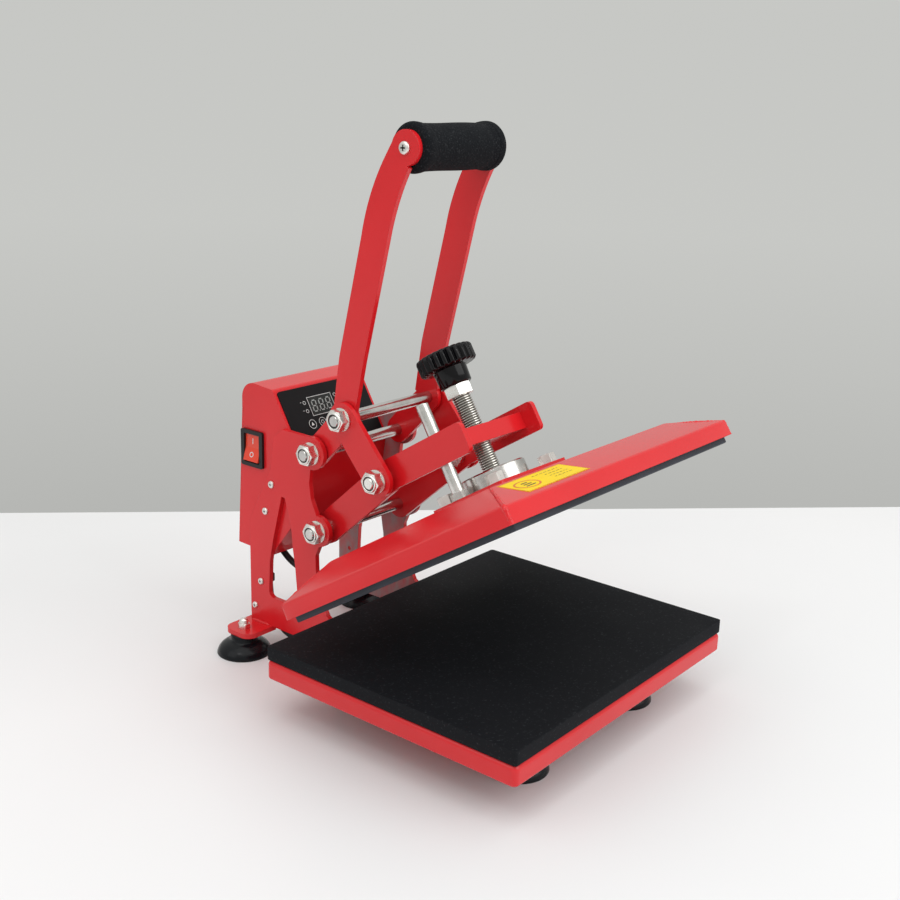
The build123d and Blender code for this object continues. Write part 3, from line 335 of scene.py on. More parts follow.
# dark metal for the thread's roots: painted shade in the groove
THREAD_ROOT_SHADE = metal("thread_root_painted_shade", (0.30, 0.28, 0.25), 0.45, 500.0, 0.000005, dirt=0.1, edge=0.0)
ZINC = metal("zinc_plate", (0.84, 0.83, 0.79), 0.30, 400.0, 0.00001, dirt=0.06)
BRONZE = metal("bronze_bush", (0.50, 0.33, 0.13), 0.35, 200.0, 0.00004)
CAST = moulded("coated_cast_plate", (0.034, 0.038, 0.050), 0.5, 350.0, 0.00008, 0.25)
BLANKET = moulded("ceramic_blanket_fibre", (0.80, 0.79, 0.75), 0.95, 800.0, 0.0002, 0.2, 0.06)
RUBBER = moulded("black_rubber_skin", (0.005, 0.006, 0.008), 0.22, 900.0, 0.00001, 0.2)
CABLE = moulded("black_cable_sheath", (0.014, 0.014, 0.015), 0.32, 600.0, 0.00002)
KNOB = moulded("gloss_black_phenolic", (0.003, 0.003, 0.004), 0.12, 300.0, 0.00001, 0.24)
SWITCH_RED = moulded("red_rocker_plastic", (0.74, 0.055, 0.025), 0.22, 600.0, 0.00001, 0.5, 0.08)
SWITCH_BLACK = moulded("black_switch_plastic", (0.012, 0.012, 0.013), 0.36, 700.0, shine=0.3)
FILM = moulded("black_panel_film", (0.006, 0.006, 0.007), 0.42, 1200.0, 0.00001, 0.14)
SMOKED = moulded("smoked_display", (0.022, 0.025, 0.024), 0.3, 500.0, 0.00001, 0.15)
BOARD = moulded("green_board", (0.03, 0.13, 0.06), 0.4, 500.0)
YELLOW = moulded("yellow_sticker", (0.87, 0.62, 0.004), 0.40, 500.0, 0.00001, 0.12, 0.05)
INK_DARK = moulded("sticker_ink", (0.07, 0.035, 0.012), 0.4, 500.0, 0.000005)
INK_ORANGE = moulded("sticker_orange", (0.72, 0.16, 0.012), 0.4, 500.0, 0.000005)
PRINT = moulded("panel_print", (0.68, 0.70, 0.70), 0.5, 900.0, 0.000005, 0.3, 0.08)
DIGIT = moulded("display_segments", (0.34, 0.37, 0.36), 0.35, 900.0, 0.000005, 0.3, 0.08)
# black nylon of the lock nuts' inserts; also the painted shade in the screws' cross slots
NYLON_AND_SLOT_SHADE = moulded("nut_insert_and_slot_shade", (0.035, 0.034, 0.033), 0.5, 500.0)
FOAM = foam_skin("black_foam_cells")
PAD = pad_skin("black_silicone_pad")
FLOOR = plain_floor("pale_floor")

SLOT_MATERIALS = {
    "red_powder_coat": RED, "black_steel": BLACK_STEEL, "turned_steel": TURNED,
    "bright_nickel": NICKEL, "zinc_screw": ZINC, "bronze": BRONZE, "cast_aluminium": CAST,
    "ceramic_blanket": BLANKET, "silicone_pad": PAD, "black_foam": FOAM, "black_rubber": RUBBER,
    "knob_black": KNOB, "switch_red": SWITCH_RED, "switch_black": SWITCH_BLACK,
    "panel_film": FILM, "smoked_window": SMOKED, "board_green": BOARD, "label_yellow": YELLOW,
}
NODE_MATERIALS = {
    "right_side_plate": RED_RIGHT, "left_side_plate": RED_LEFT, "handle_pivot_rod": SHAFT,
    "arm_pivot_rod": SHAFT, "handle_cross_rod": SHAFT,
}


def dress_nodes():
    """Give every CAD node its procedural material."""
    for subpart in frame["record"]["subparts"]:
        piece = nodes[subpart["node"]]
        finish = NODE_MATERIALS.get(piece.name, SLOT_MATERIALS[subpart["material_slot"]])
        piece.data.materials.clear()
        piece.data.materials.append(finish)


# -------------------- mesh helpers

def tilted(x, y, z):
    """A point of the platen's frame, in the row frame."""
    c, s = cos(OPEN_ANGLE), sin(OPEN_ANGLE)
    return Vector((x, RIM_BACK[0] + y * c + z * s, RIM_BACK[1] - y * s + z * c))


PLATEN = Matrix.Translation(tilted(0, 0, 0)) @ Matrix.Rotation(-OPEN_ANGLE, 4, "X")
SCREW = Matrix.Translation(tilted(0, SCREW_Y, 0)) @ Matrix.Rotation(-OPEN_ANGLE, 4, "X")


def along_x(point, side):
    """A place whose z axis points outwards along X: side is -1 on the left and 1 on the right."""
    return Matrix.Translation(point) @ Matrix.Rotation(side * pi / 2, 4, "Y")


def make(name, verts, faces, material, body, place=None, sharp=SHARP_ANGLE):
    """A mesh piece from points and faces, cleaned, smoothed and riding on its body, if any."""
    mesh = bpy.data.meshes.new(name)
    mesh.from_pydata([tuple(v) for v in verts], [], faces)
    bm = bmesh.new()
    bm.from_mesh(mesh)
    bmesh.ops.remove_doubles(bm, verts=bm.verts, dist=SAME_POINT)
    bmesh.ops.dissolve_degenerate(bm, edges=bm.edges, dist=SAME_POINT)
    bmesh.ops.holes_fill(bm, edges=bm.edges, sides=0)
    bmesh.ops.recalc_face_normals(bm, faces=bm.faces)
    if place is not None:
        bmesh.ops.transform(bm, matrix=place, verts=bm.verts)
    bm.to_mesh(mesh)
    bm.free()
    mesh.shade_smooth()
    mesh.set_sharp_from_angle(angle=radians(sharp))
    mesh.materials.append(material)
    piece = bpy.data.objects.new(name, mesh)
    bpy.context.scene.collection.objects.link(piece)
    if body:
        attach(piece, body)
    return piece


def ring_faces(rows, columns, closed_rows=False):
    """Quads of a grid whose columns close into a ring."""
    faces = []
    last = rows if closed_rows else rows - 1
    for j in range(last):
        for i in range(columns):
            k = (i + 1) % columns
            n = (j + 1) % rows
            faces.append((j * columns + i, j * columns + k, n * columns + k, n * columns + i))
    return faces


def around(radius, turn, height):
    """A point at this radius, angle and height about the z axis."""
    return (radius * cos(turn), radius * sin(turn), height)


def lathe(name, profile, place, material, body, columns, hollow=False, sharp=SHARP_ANGLE):
    """A turned piece from (radius, height) points. A hollow one closes its profile into a ring."""
    turns = [2 * pi * i / columns for i in range(columns)]
    verts = [around(radius, turn, height) for radius, height in profile for turn in turns]
    faces = ring_faces(len(profile), columns, hollow)
    return make(name, verts, faces, material, body, place, sharp)


def rounded_loop(wide, deep, radius, side):
    """Points of a rounded rectangle about the origin, side of them on each straight side."""
    points = []
    for quarter in range(4):
        turned = Matrix.Rotation(quarter * pi / 2, 3, "Z")
        across, along = (wide, deep) if quarter % 2 == 0 else (deep, wide)
        start = Vector((across / 2, -along / 2 + radius, 0))
        end = Vector((across / 2, along / 2 - radius, 0))
        for i in range(side):
            points.append(turned @ start.lerp(end, i / side))
        middle = Vector((across / 2 - radius, along / 2 - radius, 0))
        for i in range(CORNER_POINTS):
            angle = i / CORNER_POINTS * pi / 2
            points.append(turned @ (middle + Vector((cos(angle), sin(angle), 0)) * radius))
    return points


def stacked(name, rows, material, body, place, side, hollow=False, wave=None):
    """A form from rounded rectangles (wide, deep, radius, height), one above the other."""
    verts = []
    for wide, deep, radius, height in rows:
        for point in rounded_loop(wide, deep, radius, side):
            lift = wave(point.x, point.y) if wave else 0.0
            verts.append((point.x, point.y, height + lift))
    faces = ring_faces(len(rows), len(verts) // len(rows), hollow)
    return make(name, verts, faces, material, body, place)


def plates(name, outlines, thick, place, material, body):
    """Thin flat marks from closed outlines of (x, y) points."""
    verts, faces = [], []
    for outline in outlines:
        base = len(verts)
        count = len(outline)
        verts += [(x, y, 0.0) for x, y in outline] + [(x, y, thick) for x, y in outline]
        faces.append(tuple(range(base + count, base + 2 * count)))
        faces.append(tuple(reversed(range(base, base + count))))
        for i in range(count):
            k = (i + 1) % count
            faces.append((base + i, base + k, base + count + k, base + count + i))
    return make(name, verts, faces, material, body, place)


def bar(x, y, wide, tall, slant=0.0):
    """Outline of a rectangle, leaning by slant."""
    lean = slant * tall / 2
    return [
        (x - wide / 2 - lean, y - tall / 2), (x + wide / 2 - lean, y - tall / 2),
        (x + wide / 2 + lean, y + tall / 2), (x - wide / 2 + lean, y + tall / 2),
    ]


def ring_parts(x, y, radius, wide, stretch=1.0, parts=32):
    """A flat ring as a chain of small quads that overlap a little."""
    reach = 1.02
    inner, outer = radius - wide / 2, radius + wide / 2
    outlines = []
    for i in range(parts):
        a, b = 2 * pi * i / parts, 2 * pi * (i + reach) / parts
        corners = ((inner, a), (outer, a), (outer, b), (inner, b))
        outlines.append([(x + r * cos(turn) * stretch, y + r * sin(turn)) for r, turn in corners])
    return outlines


def frame_bars(x, y, wide, tall, line):
    """The four sides of a rectangle's outline."""
    return [
        bar(x, y + tall / 2, wide + line, line), bar(x, y - tall / 2, wide + line, line),
        bar(x - wide / 2, y, line, tall - line), bar(x + wide / 2, y, line, tall - line),
    ]


# -------------------- cords

def cord_curve(name, points, diameter, material):
    """A round cord along a smooth NURBS line with these control points."""
    curve = bpy.data.curves.new(name, "CURVE")
    curve.dimensions = "3D"
    curve.bevel_depth = diameter / 2
    curve.bevel_resolution = 5
    curve.resolution_u = 6
    curve.use_fill_caps = True
    spline = curve.splines.new("NURBS")
    spline.points.add(len(points) - 1)
    for control, point in zip(spline.points, points):
        control.co = (*point, 1.0)
    spline.order_u = 3
    spline.use_endpoint_u = True
    curve.materials.append(material)
    cord = bpy.data.objects.new(name, curve)
    bpy.context.scene.collection.objects.link(cord)
    return cord


def coil_points():
    """Control points of the coil: three turns inwards on the table, two outwards on top of them."""
    steps = 20  # points on each turn
    shift = 4  # the last points of a turn, on which its radius runs to the next turn's
    climb = 5  # the points before those, on which the last low turn rises
    last_low = 2
    hump = 0.001
    # a spline of order 3 runs inside its control points by this much
    swell = 1 / (0.75 + 0.25 * cos(2 * pi / steps))
    points = []
    for i in range(1, len(COIL_TURNS) * steps):
        turn, into = divmod(i, steps)
        radius, height = COIL_TURNS[turn]
        if into > steps - shift and turn + 1 < len(COIL_TURNS):
            share = (into - steps + shift) / shift
            radius += (COIL_TURNS[turn + 1][0] - radius) * share
        if turn == last_low and into > steps - shift - climb:
            rise = min(1.0, (into - steps + shift + climb) / climb)
            height += (COIL_TURNS[last_low + 1][1] - height) * rise + hump * rise
        angle = pi + 2 * pi * i / steps
        points.append((
            COIL_MIDDLE[0] + radius * swell * cos(angle),
            COIL_MIDDLE[1] + radius * swell * sin(angle),
            height,
        ))
    return points


def mains_cord(plug, plug_parts):
    """The mains cord from its gland to the plug."""
    end_x = COIL_MIDDLE[0] - COIL_TURNS[-1][0]
    end_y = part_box("power_plug")[1].y - PLUG_GRIP
    tail = [(end_x, COIL_MIDDLE[1] + y, z) for y, z in CORD_TAIL] + [(end_x, end_y, PLUG_HEIGHT)]
    cord = cord_curve("mains_cord", CORD_ROUTE + coil_points() + tail, CORD_DIAMETER, CABLE)
    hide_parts("power_cord", "cord_coil")
    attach(cord, "base")


def plug_shell(base):
    """The plug's body, with two grooves for the fingers."""
    tip, full, waist = (0.004, 0.004, 0.0019), (0.0258, 0.0188, 0.007), (0.0246, 0.0176, 0.007)
    rows = [
        (*tip, 0.0), (0.020, 0.013, 0.006, 0.0002), (0.0245, 0.017, 0.007, 0.0018),
        (*full, 0.005), (*full, 0.012), (*waist, 0.0135), (*full, 0.015), (*waist, 0.0165),
        (*full, 0.018), (*full, 0.0285), (0.0245, 0.0175, 0.006, 0.0298), (*tip, 0.030),
    ]
    plug = stacked("plug_body", rows, RUBBER, "base", base, side=2)
    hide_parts("power_plug")
    return plug


def mains_plug():
    """Plain two-pin plug with a ribbed sleeve. Returns its body and its other pieces."""
    low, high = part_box("power_plug")
    middle = Matrix.Translation(((low.x + high.x) / 2, low.y + PLUG_LONG, PLUG_HEIGHT))
    base = middle @ Matrix.Rotation(pi / 2, 4, "X")
    plug = plug_shell(base)
    ribs, rib_pitch, rib_taper = 6, 0.0033, 0.00025
    sleeve = [(AXIS, 0.0008), (0.0062, 0.0008), (0.0062, -0.002)]
    for i in range(ribs):
        z = -0.003 - rib_pitch * i
        r = 0.0060 - rib_taper * i
        sleeve += [(r, z), (r, z - 0.0017), (r - 0.0008, z - 0.0019), (r - 0.0008, z - 0.0031)]
    sleeve += [(0.0041, -0.0238), (AXIS, -0.0238)]
    parts = [lathe("plug_sleeve", sleeve, base, RUBBER, "base", 40)]
    pin = [(AXIS, 0.0295), (0.002, 0.0295), (0.002, 0.0482), (0.0014, 0.0489), (AXIS, 0.049)]
    pin_x = 0.0095
    for name, x in (("plug_pin_left", -pin_x), ("plug_pin_right", pin_x)):
        where = base @ Matrix.Translation((x, 0, 0))
        parts.append(lathe(name, pin, where, NICKEL, "base", 24))
    return plug, parts


def line_points(points):
    """Points along the smooth NURBS line of a route."""
    cord = cord_curve("route", points, 0.0, CABLE)
    mesh = bpy.data.meshes.new_from_object(cord)
    found = [vertex.co.copy() for vertex in mesh.vertices]
    bpy.data.objects.remove(cord)
    bpy.data.meshes.remove(mesh)
    return found


def tube(name, path, radii, material, body, columns=24):
    """A round tube through the points of path, with a radius at each."""
    verts = []
    guide = Vector((1, 0, 0))
    last = len(path) - 1
    for i, (point, radius) in enumerate(zip(path, radii)):
        along = (path[min(i + 1, last)] - path[max(i - 1, 0)]).normalized()
        guide = (guide - along * guide.dot(along)).normalized()
        beside = along.cross(guide)
        for k in range(columns):
            turn = 2 * pi * k / columns
            verts.append(point + (guide * cos(turn) + beside * sin(turn)) * radius)
    return make(name, verts, ring_faces(len(path), columns), material, body, sharp=60.0)


def heater_lead():
    """The heater lead as two tubes that meet in a splice sleeve, which rides on the arm."""
    line = line_points(LEAD_ROUTE + [tilted(*point) for point in LEAD_INLET])
    half = len(line) // 2
    rear, front = line[: half + 1], line[half:]
    radius = LEAD_DIAMETER / 2
    rear_tube = tube("lead_rear", rear, [radius] * len(rear), CABLE, None)
    front_tube = tube("lead_front", front, [radius] * len(front), CABLE, None)
    swell = (1.05, 1.2, 1.25, 1.25, 1.25, 1.2, 1.05)
    reach = len(swell) // 2
    sleeve_path = line[half - reach: half + reach + 1]
    sleeve_radii = [radius * k for k in swell]
    sleeve = tube("lead_splice", sleeve_path, sleeve_radii, RUBBER, "arm")
    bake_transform(rear_tube)
    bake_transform(front_tube)
    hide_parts("heater_lead")


# -------------------- platen

def cover_row(inset, height, radius):
    """A level of the cover, this far inside its rim, for stacked()."""
    wide, deep = COVER_SIZE
    return (wide - 2 * inset, deep - 2 * inset, radius, height)


def cover_skin():
    """Folded and welded sheet cover, with soft bends and a thin hollow shell."""
    pitch = (COVER_TOP - COVER_WALL) / (COVER_INSET - WALL_LEAN)
    bend = 0.0012
    ridge_in, ridge_up = WALL_LEAN + bend, COVER_WALL + bend * pitch
    outside = [
        (0.0, 0.0, 0.003), (0.0003, 0.0004, 0.003), (0.0011, COVER_WALL - 0.0014, 0.003),
        (0.0015, COVER_WALL - 0.0004, 0.003), (ridge_in, ridge_up, 0.003),
        (ridge_in + 0.001, ridge_up + 0.001 * pitch, 0.003),
        (COVER_INSET - 0.0015, COVER_TOP - bend * pitch, 0.0022),
        (COVER_INSET, COVER_TOP - 0.0001, 0.002), (COVER_INSET + 0.0015, COVER_TOP, 0.002),
        (MOUTH_INSET, COVER_TOP, 0.002),
    ]
    inside = [
        (MOUTH_INSET, COVER_TOP - COVER_SHEET, 0.002),
        (COVER_INSET, COVER_TOP - COVER_SHEET, 0.002),
        (0.0032, COVER_WALL - 0.0006, 0.002), (COVER_SHEET, 0.0, 0.0022),
    ]
    rows = [cover_row(*row) for row in outside + inside]
    place = PLATEN @ Matrix.Translation((0, -COVER_SIZE[1] / 2, 0))
    skin = stacked(
        "cover_skin", rows, RED, "platen", place, side=24, hollow=True,
    )
    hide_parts("platen_cover")


def bead(name, corners, seed, body, step=0.0011):
    """A weld bead through (point, largest radius) corners, uneven as a hand weld is."""
    chance = random.Random(seed)
    path, largest = [], []
    for (start, first), (end, last) in zip(corners, corners[1:]):
        count = max(2, round((end - start).length / step))
        path += [start.lerp(end, i / count) for i in range(count)]
        largest += [first + (last - first) * i / count for i in range(count)]
    path.append(corners[-1][0])
    largest.append(corners[-1][1])
    tip, growth = 0.35, 0.3  # share of the full radius at an end, and more at each step from it
    lump_over, lump, plain = 0.84, (0.9, 1.0), (0.66, 0.8)
    radii = []
    for i, radius in enumerate(largest):
        ends = min(1.0, tip + growth * i, tip + growth * (len(path) - 1 - i))
        swell = chance.uniform(*(lump if chance.random() > lump_over else plain))
        radii.append(radius * ends * swell)
    tube(name, path, radii, RED_WELD, body, 12)


def cover_welds():
    """Beads down the four corners of the cover, the front left one the roughest."""
    deep = COVER_SIZE[1]
    sunk = 0.0008
    middle = (COVER_TOP + COVER_WALL) / 2
    for i, (sx, front) in enumerate(FOUR_CORNERS):
        scale = 1.0 if i == 0 else 0.7
        ridge = 0.0030 if i == 0 else 0.0024
        corners = []
        for inset, height, radius in (
            (COVER_INSET + 0.001, COVER_TOP - sunk, 0.0016),
            (COVER_INSET / 2, middle - sunk, 0.0019),
            (ridge, COVER_WALL - sunk, ridge), (0.0019, 0.0019, 0.0019),
        ):
            y = -deep + inset if front else -inset
            corners.append((tilted(sx * (COVER_SIZE[0] / 2 - inset), y, height), radius * scale))
        bead(f"cover_weld_{i}", corners, seed=7 + i, body="platen")


def tab_welds():
    """Beads where the side plates stand on the foot tabs."""
    low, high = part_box("suction_feet")
    bead_radius, bead_back, bead_front = 0.0024, -0.013, 0.009
    for i, (side, rear) in enumerate(FOUR_CORNERS):
        middle = high.y - FOOT_RADIUS if rear else low.y + FOOT_RADIUS
        x = side * (PLATE_OUT + 0.0002)
        ends = [(Vector((x, middle + dy, TAB_TOP)), bead_radius) for dy in (bead_back, bead_front)]
        bead(f"tab_weld_{i}", ends, seed=31 + i, body="base", step=0.0016)


def sticker_words():
    """Outlines of three slanting bars inside the ring, and of dashes in place of words."""
    chance = random.Random(5)
    marks = [
        bar(RING_PLACE[0], -0.004 + 0.0033 * k, 0.011 - 0.002 * k, 0.0015, 0.4) for k in range(3)
    ]
    row_pitch, row_end, gap = 0.0046, 0.027, 0.0016
    for row, x in enumerate((-0.004, 0.006, 0.006, 0.006)):
        while x < row_end:
            word = chance.uniform(0.0015, 0.004)
            marks.append(bar(x + word / 2, 0.0085 - row_pitch * row, word, 0.0006))
            x += word + gap
    return marks


def sticker_marks():
    """Generic border, ring and lines on the yellow sticker."""
    slope = atan2(COVER_TOP - COVER_WALL, SLOPE_LOW - SLOPE_HIGH)
    middle = (LABEL_MIDDLE, -(SLOPE_LOW + SLOPE_HIGH) / 2, (COVER_WALL + COVER_TOP) / 2)
    place = PLATEN @ Matrix.Translation(middle)
    place = place @ Matrix.Rotation(slope, 4, "X") @ Matrix.Translation((0, 0.0016, 0.00034))
    wide, tall = LABEL_SIZE
    margin = 0.0012
    border = frame_bars(0, 0, wide - margin, tall - margin, 0.0005)
    ring = ring_parts(*RING_PLACE, 0.0078, 0.0012, 1.5)
    for name, outlines, ink in (
        ("sticker_border", border, INK_ORANGE), ("sticker_ring", ring, INK_ORANGE),
        ("sticker_lines", sticker_words(), INK_DARK),
    ):
        plates(name, outlines, INK_THICK, place, ink, "platen")


# -------------------- pad and foam

def bed_pad():
    """Silicone foam pad with crisp cut edges and a hardly uneven top."""
    low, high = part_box("base_pad")
    wide, deep, thick = high.x - low.x, high.y - low.y, high.z - low.z
    levels = [
        (0.004, 0.0), (0.0004, 0.0), (0.0, 0.0005), (0.0, thick - 0.0009), (0.0002, thick - 0.0003),
        (0.0008, thick), (0.006, thick), (0.02, thick), (0.05, thick), (0.08, thick), (0.11, thick),
    ]
    rows = [
        (wide - 2 * inset, deep - 2 * inset, max(0.0006, 0.0022 - inset / 8), height)
        for inset, height in levels
    ]
    place = Matrix.Translation(((low.x + high.x) / 2, (low.y + high.y) / 2, low.z))
    wave_high, fade, rim, dip = 0.00012, 0.01, 0.0007, 0.0001

    def wave(x, y):
        """Low waves that fade out towards the edge, and a small dip inside the rim."""
        near_edge = min(wide / 2 - abs(x), deep / 2 - abs(y))
        swell = wave_high * sin(61 * x + 1.3) * sin(47 * y) * min(1.0, near_edge / fade)
        return swell - dip * (near_edge > rim)

    pad = stacked("bed_pad", rows, PAD, "base", place, side=40, wave=wave)
    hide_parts("base_pad")


def foam_sleeve():
    """Foam grip with soft swollen ends and a pressed ring near its right end."""
    low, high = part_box("foam_grip")
    half = (high.x - low.x) / 2
    body = (high.z - low.z) / 2 - 0.0008
    tube_radius = 0.0127
    steps = 120
    end_round = 0.0048
    ring_in, ring_wide, ring_deep = 0.0105, 0.0012, 0.0009
    wave_high, wave_rate = 0.00025, 90
    profile = [(tube_radius, -half)]
    for i in range(steps + 1):
        x = -half + 2 * half * i / steps
        edge = half - abs(x)
        bulge, width = (0.0017, 0.011) if x > 0 else (0.0011, 0.008)
        radius = body + bulge * max(0.0, 1 - (abs(edge - end_round) / width) ** 2)
        if edge < end_round:
            radius -= end_round - (end_round ** 2 - (end_round - edge) ** 2) ** 0.5
        radius -= ring_deep * max(0.0, 1 - abs(x - half + ring_in) / ring_wide)
        radius += wave_high * sin(wave_rate * x + 0.4)
        profile.append((radius, x))
    profile.append((tube_radius, half))
    place = Matrix.Translation((low + high) / 2) @ Matrix.Rotation(pi / 2, 4, "Y")
    sleeve = lathe(
        "foam_sleeve", profile, place, FOAM, "handle", 96, hollow=True, sharp=70,
    )
    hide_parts("foam_grip")


# -------------------- screw and knob

def screw_thread():
    """Pressure screw with its helical thread cut in the mesh, and painted shade in the thread's root."""
    pitch, crest, root, columns = 0.002, 0.008, 0.0068, 40
    turns = int((SCREW_TOP - SCREW_FOOT) / pitch) - 1
    form = [(root, 0.0), (root, 0.0005), (crest, 0.001), (crest, 0.0015)]
    kinds = len(form)
    total = turns * columns
    verts = []
    for i in range(total + 1):
        turn = 2 * pi * i / columns
        fade = min(1.0, i / columns, (total - i) / columns)
        start = SCREW_FOOT + pitch * i / columns
        for radius, rise in form:
            verts.append(around(root + (radius - root) * fade, turn, start + rise))
    for i in range(total + 1, total + columns + 1):
        verts.append(around(root, 2 * pi * i / columns, SCREW_FOOT + pitch * i / columns))

    def index(i, j):
        """Number of the form's point j at step i. Past its last point is the next turn's first."""
        if j < kinds:
            return i * kinds + j
        i += columns
        return i * kinds if i <= total else (total + 1) * kinds + i - total - 1

    faces = []
    for i in range(total):
        for j in range(kinds):
            faces.append((index(i, j), index(i + 1, j), index(i + 1, j + 1), index(i, j + 1)))
    thread = make("screw_thread", verts, faces, THREAD, "screw", SCREW, 30.0)
    # faces at the thread's root get the dark metal: painted shade in the groove
    thread.data.materials.append(THREAD_ROOT_SHADE)
    to_screw = SCREW.inverted()
    for face in thread.data.polygons:
        if (to_screw @ face.center).xy.length < (root + crest) / 2:
            face.material_index = 1
    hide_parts("pressure_screw")


def fluted_knob():
    """Hand knob: a narrow-fluted rim with a dished top, on a tapered hub."""
    flutes, flute_deep, flute_sharp, columns = 24, 0.0024, 2.2, 288
    rows = [  # (height, radius, share of the flutes' depth)
        (0.0, AXIS, 0), (0.0, 0.0128, 0), (0.0009, 0.0137, 0), (0.0146, 0.01445, 0),
        (0.0152, 0.0155, 0), (0.0152, 0.0216, 0.3), (0.0158, 0.0236, 0.9), (0.0172, 0.0247, 1),
        (0.0276, 0.0247, 1), (0.0290, 0.0243, 0.95), (0.0298, 0.0229, 0.7), (0.0300, 0.0205, 0.2),
        (0.0298, 0.0188, 0), (0.0288, 0.0178, 0), (0.0282, 0.0165, 0), (0.0281, AXIS, 0),
    ]
    verts = []
    for height, radius, depth in rows:
        for i in range(columns):
            turn = 2 * pi * i / columns
            groove = (0.5 + 0.5 * cos(flutes * turn)) ** flute_sharp
            verts.append(around(radius - flute_deep * depth * groove, turn, height))
    place = SCREW @ Matrix.Translation((0, 0, KNOB_LOW))
    faces = ring_faces(len(rows), columns)
    knob = make("fluted_knob", verts, faces, KNOB, "screw", place, 50.0)
    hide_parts("knob")


# -------------------- feet, nuts and small marks

def suction_cups():
    """Four moulded suction feet with a round collar and a domed skirt."""
    low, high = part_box("suction_feet")
    top = high.z
    profile = [
        (AXIS, top), (0.0116, top), (0.0123, top - 0.0008), (0.0123, 0.0136), (0.0128, 0.0124),
        (0.0150, 0.0116), (0.0182, 0.0102), (0.0213, 0.0078), (0.0236, 0.0048), (0.0248, 0.0018),
        (0.02495, 0.0006), (0.0246, 0.0), (0.0226, 0.0), (0.0190, 0.0036), (0.0120, 0.0058),
        (AXIS, 0.006),
    ]
    rear_x, rear_y = 0.0804, high.y - FOOT_RADIUS
    front_x, front_y = 0.0775, low.y + FOOT_RADIUS
    places = [(-rear_x, rear_y), (rear_x, rear_y), (-front_x, front_y), (front_x, front_y)]
    for i, (x, y) in enumerate(places):
        where = Matrix.Translation((x, y, 0))
        name = f"suction_cup_{i}"
        cup = lathe(name, profile, where, RUBBER, "base", 72, sharp=50)
        if i == 0:
            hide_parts("suction_feet")


def nut_collar(name, at, face, side, body):
    """Rounded collar and dark locking ring on a lock nut's outer face, at this distance along X."""
    place = along_x(Vector((side * face, at.y, at.z)), side)
    collar = [
        (0.0060, -0.0003), (0.0079, -0.0003), (0.0078, 0.0003), (0.0073, 0.0009), (0.0067, 0.0012),
        (0.0062, 0.0011), (0.0060, 0.0007),
    ]
    insert = [
        (0.00502, -0.0002), (0.0061, -0.0002), (0.0061, 0.0005), (0.0056, 0.0007),
        (0.00502, 0.0005),
    ]
    for word, profile, material, slot in (
        ("collar", collar, NICKEL, "bright_nickel"), ("insert", insert, NYLON_AND_SLOT_SHADE, "black_rubber"),
    ):
        lathe(f"{name}_{word}", profile, place, material, body, 48, hollow=True, sharp=60)


def nut_collars():
    """Collars on the eight lock nuts of the pivots, the handle's cross rod and the strap pins."""
    pivot_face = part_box("pivot_nuts")[1].x
    rod_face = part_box("handle_rod_nuts")[1].x
    pin_low, pin_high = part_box("strap_pins")
    pin = (pin_low + pin_high) / 2
    pin_tip = 0.0015  # the strap pins stand out of their nuts by this much
    for side, word in SIDES:
        nut_collar(f"handle_pivot_{word}", HANDLE_PIVOT, pivot_face, side, "base")
        nut_collar(f"arm_pivot_{word}", ARM_PIVOT, pivot_face, side, "base")
        nut_collar(f"cross_rod_{word}", STRAP_TOP, rod_face, side, "handle")
        nut_collar(f"strap_pin_{word}", pin, pin_high.x - pin_tip, side, "strap")


def cross_recess(name, place, long, wide, body):
    """Cross slot of a small screw, as a thin dark sheet: painted shade of the recess."""
    outlines = [bar(0, 0, long, wide), bar(0, 0, wide, long)]
    # dark sheet on the head: painted shade of the recess
    plates(name, outlines, 0.00006, place, NYLON_AND_SLOT_SHADE, body)


def head_places(node):
    """Centres of the outermost flat faces of a node's screw heads."""
    flat, head_wide = 1e-5, 0.006
    points = [vertex.co for vertex in nodes[node].data.vertices]
    reach = max(abs(point.x) for point in points)
    groups = []
    for tip in points:
        if abs(tip.x) <= reach - flat:
            continue
        for group in groups:
            if (group[0] - tip).length < head_wide:
                group.append(tip)
                break
        else:
            groups.append([tip])
    return [sum(group, Vector()) / len(group) for group in groups]


def screw_slots():
    """Cross slots on the visible screws, each a dark sheet of painted shade."""
    for node in ("box_screws", "clip_screws"):
        for i, place in enumerate(head_places(node)):
            side = 1 if place.x > 0 else -1
            cross_recess(f"{node}_slot_{i}", along_x(place, side), 0.0026, 0.0007, "base")
    low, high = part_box("grip_screws")
    at = (low + high) / 2
    for side, word in SIDES:
        place = along_x(Vector((side * high.x, at.y, at.z)), side)
        cross_recess(f"grip_screw_slot_{word}", place, 0.0048, 0.0013, "handle")


# -------------------- control panel and switch

def panel_place():
    """Place of the sloping panel's surface: x across, y up the slope, z outwards."""
    rise = Vector((0, SLOPE_TOP[0] - SLOPE_FOOT[0], SLOPE_TOP[1] - SLOPE_FOOT[1])).normalized()
    out = Vector((1, 0, 0)).cross(rise)
    turn = Matrix((Vector((1, 0, 0)), rise, out)).transposed().to_4x4()
    return Matrix.Translation((0, *SLOPE_FOOT)) @ turn


def digit_segments(x, y, wide, tall, line):
    """Outlines of the seven segments of one digit, leaning a little."""
    lean = 0.09
    end_gap = 1.3  # a segment is shorter than its side by this many line widths
    half = tall / 4
    level = [(0, tall / 2), (0, 0), (0, -tall / 2)]
    upright = [(-wide / 2, half), (wide / 2, half), (-wide / 2, -half), (wide / 2, -half)]
    outlines = [bar(x + dx + dy * lean, y + dy, wide - end_gap * line, line) for dx, dy in level]
    for dx, dy in upright:
        outlines.append(bar(x + dx + dy * lean, y + dy, line, 2 * half - end_gap * line, lean))
    return outlines


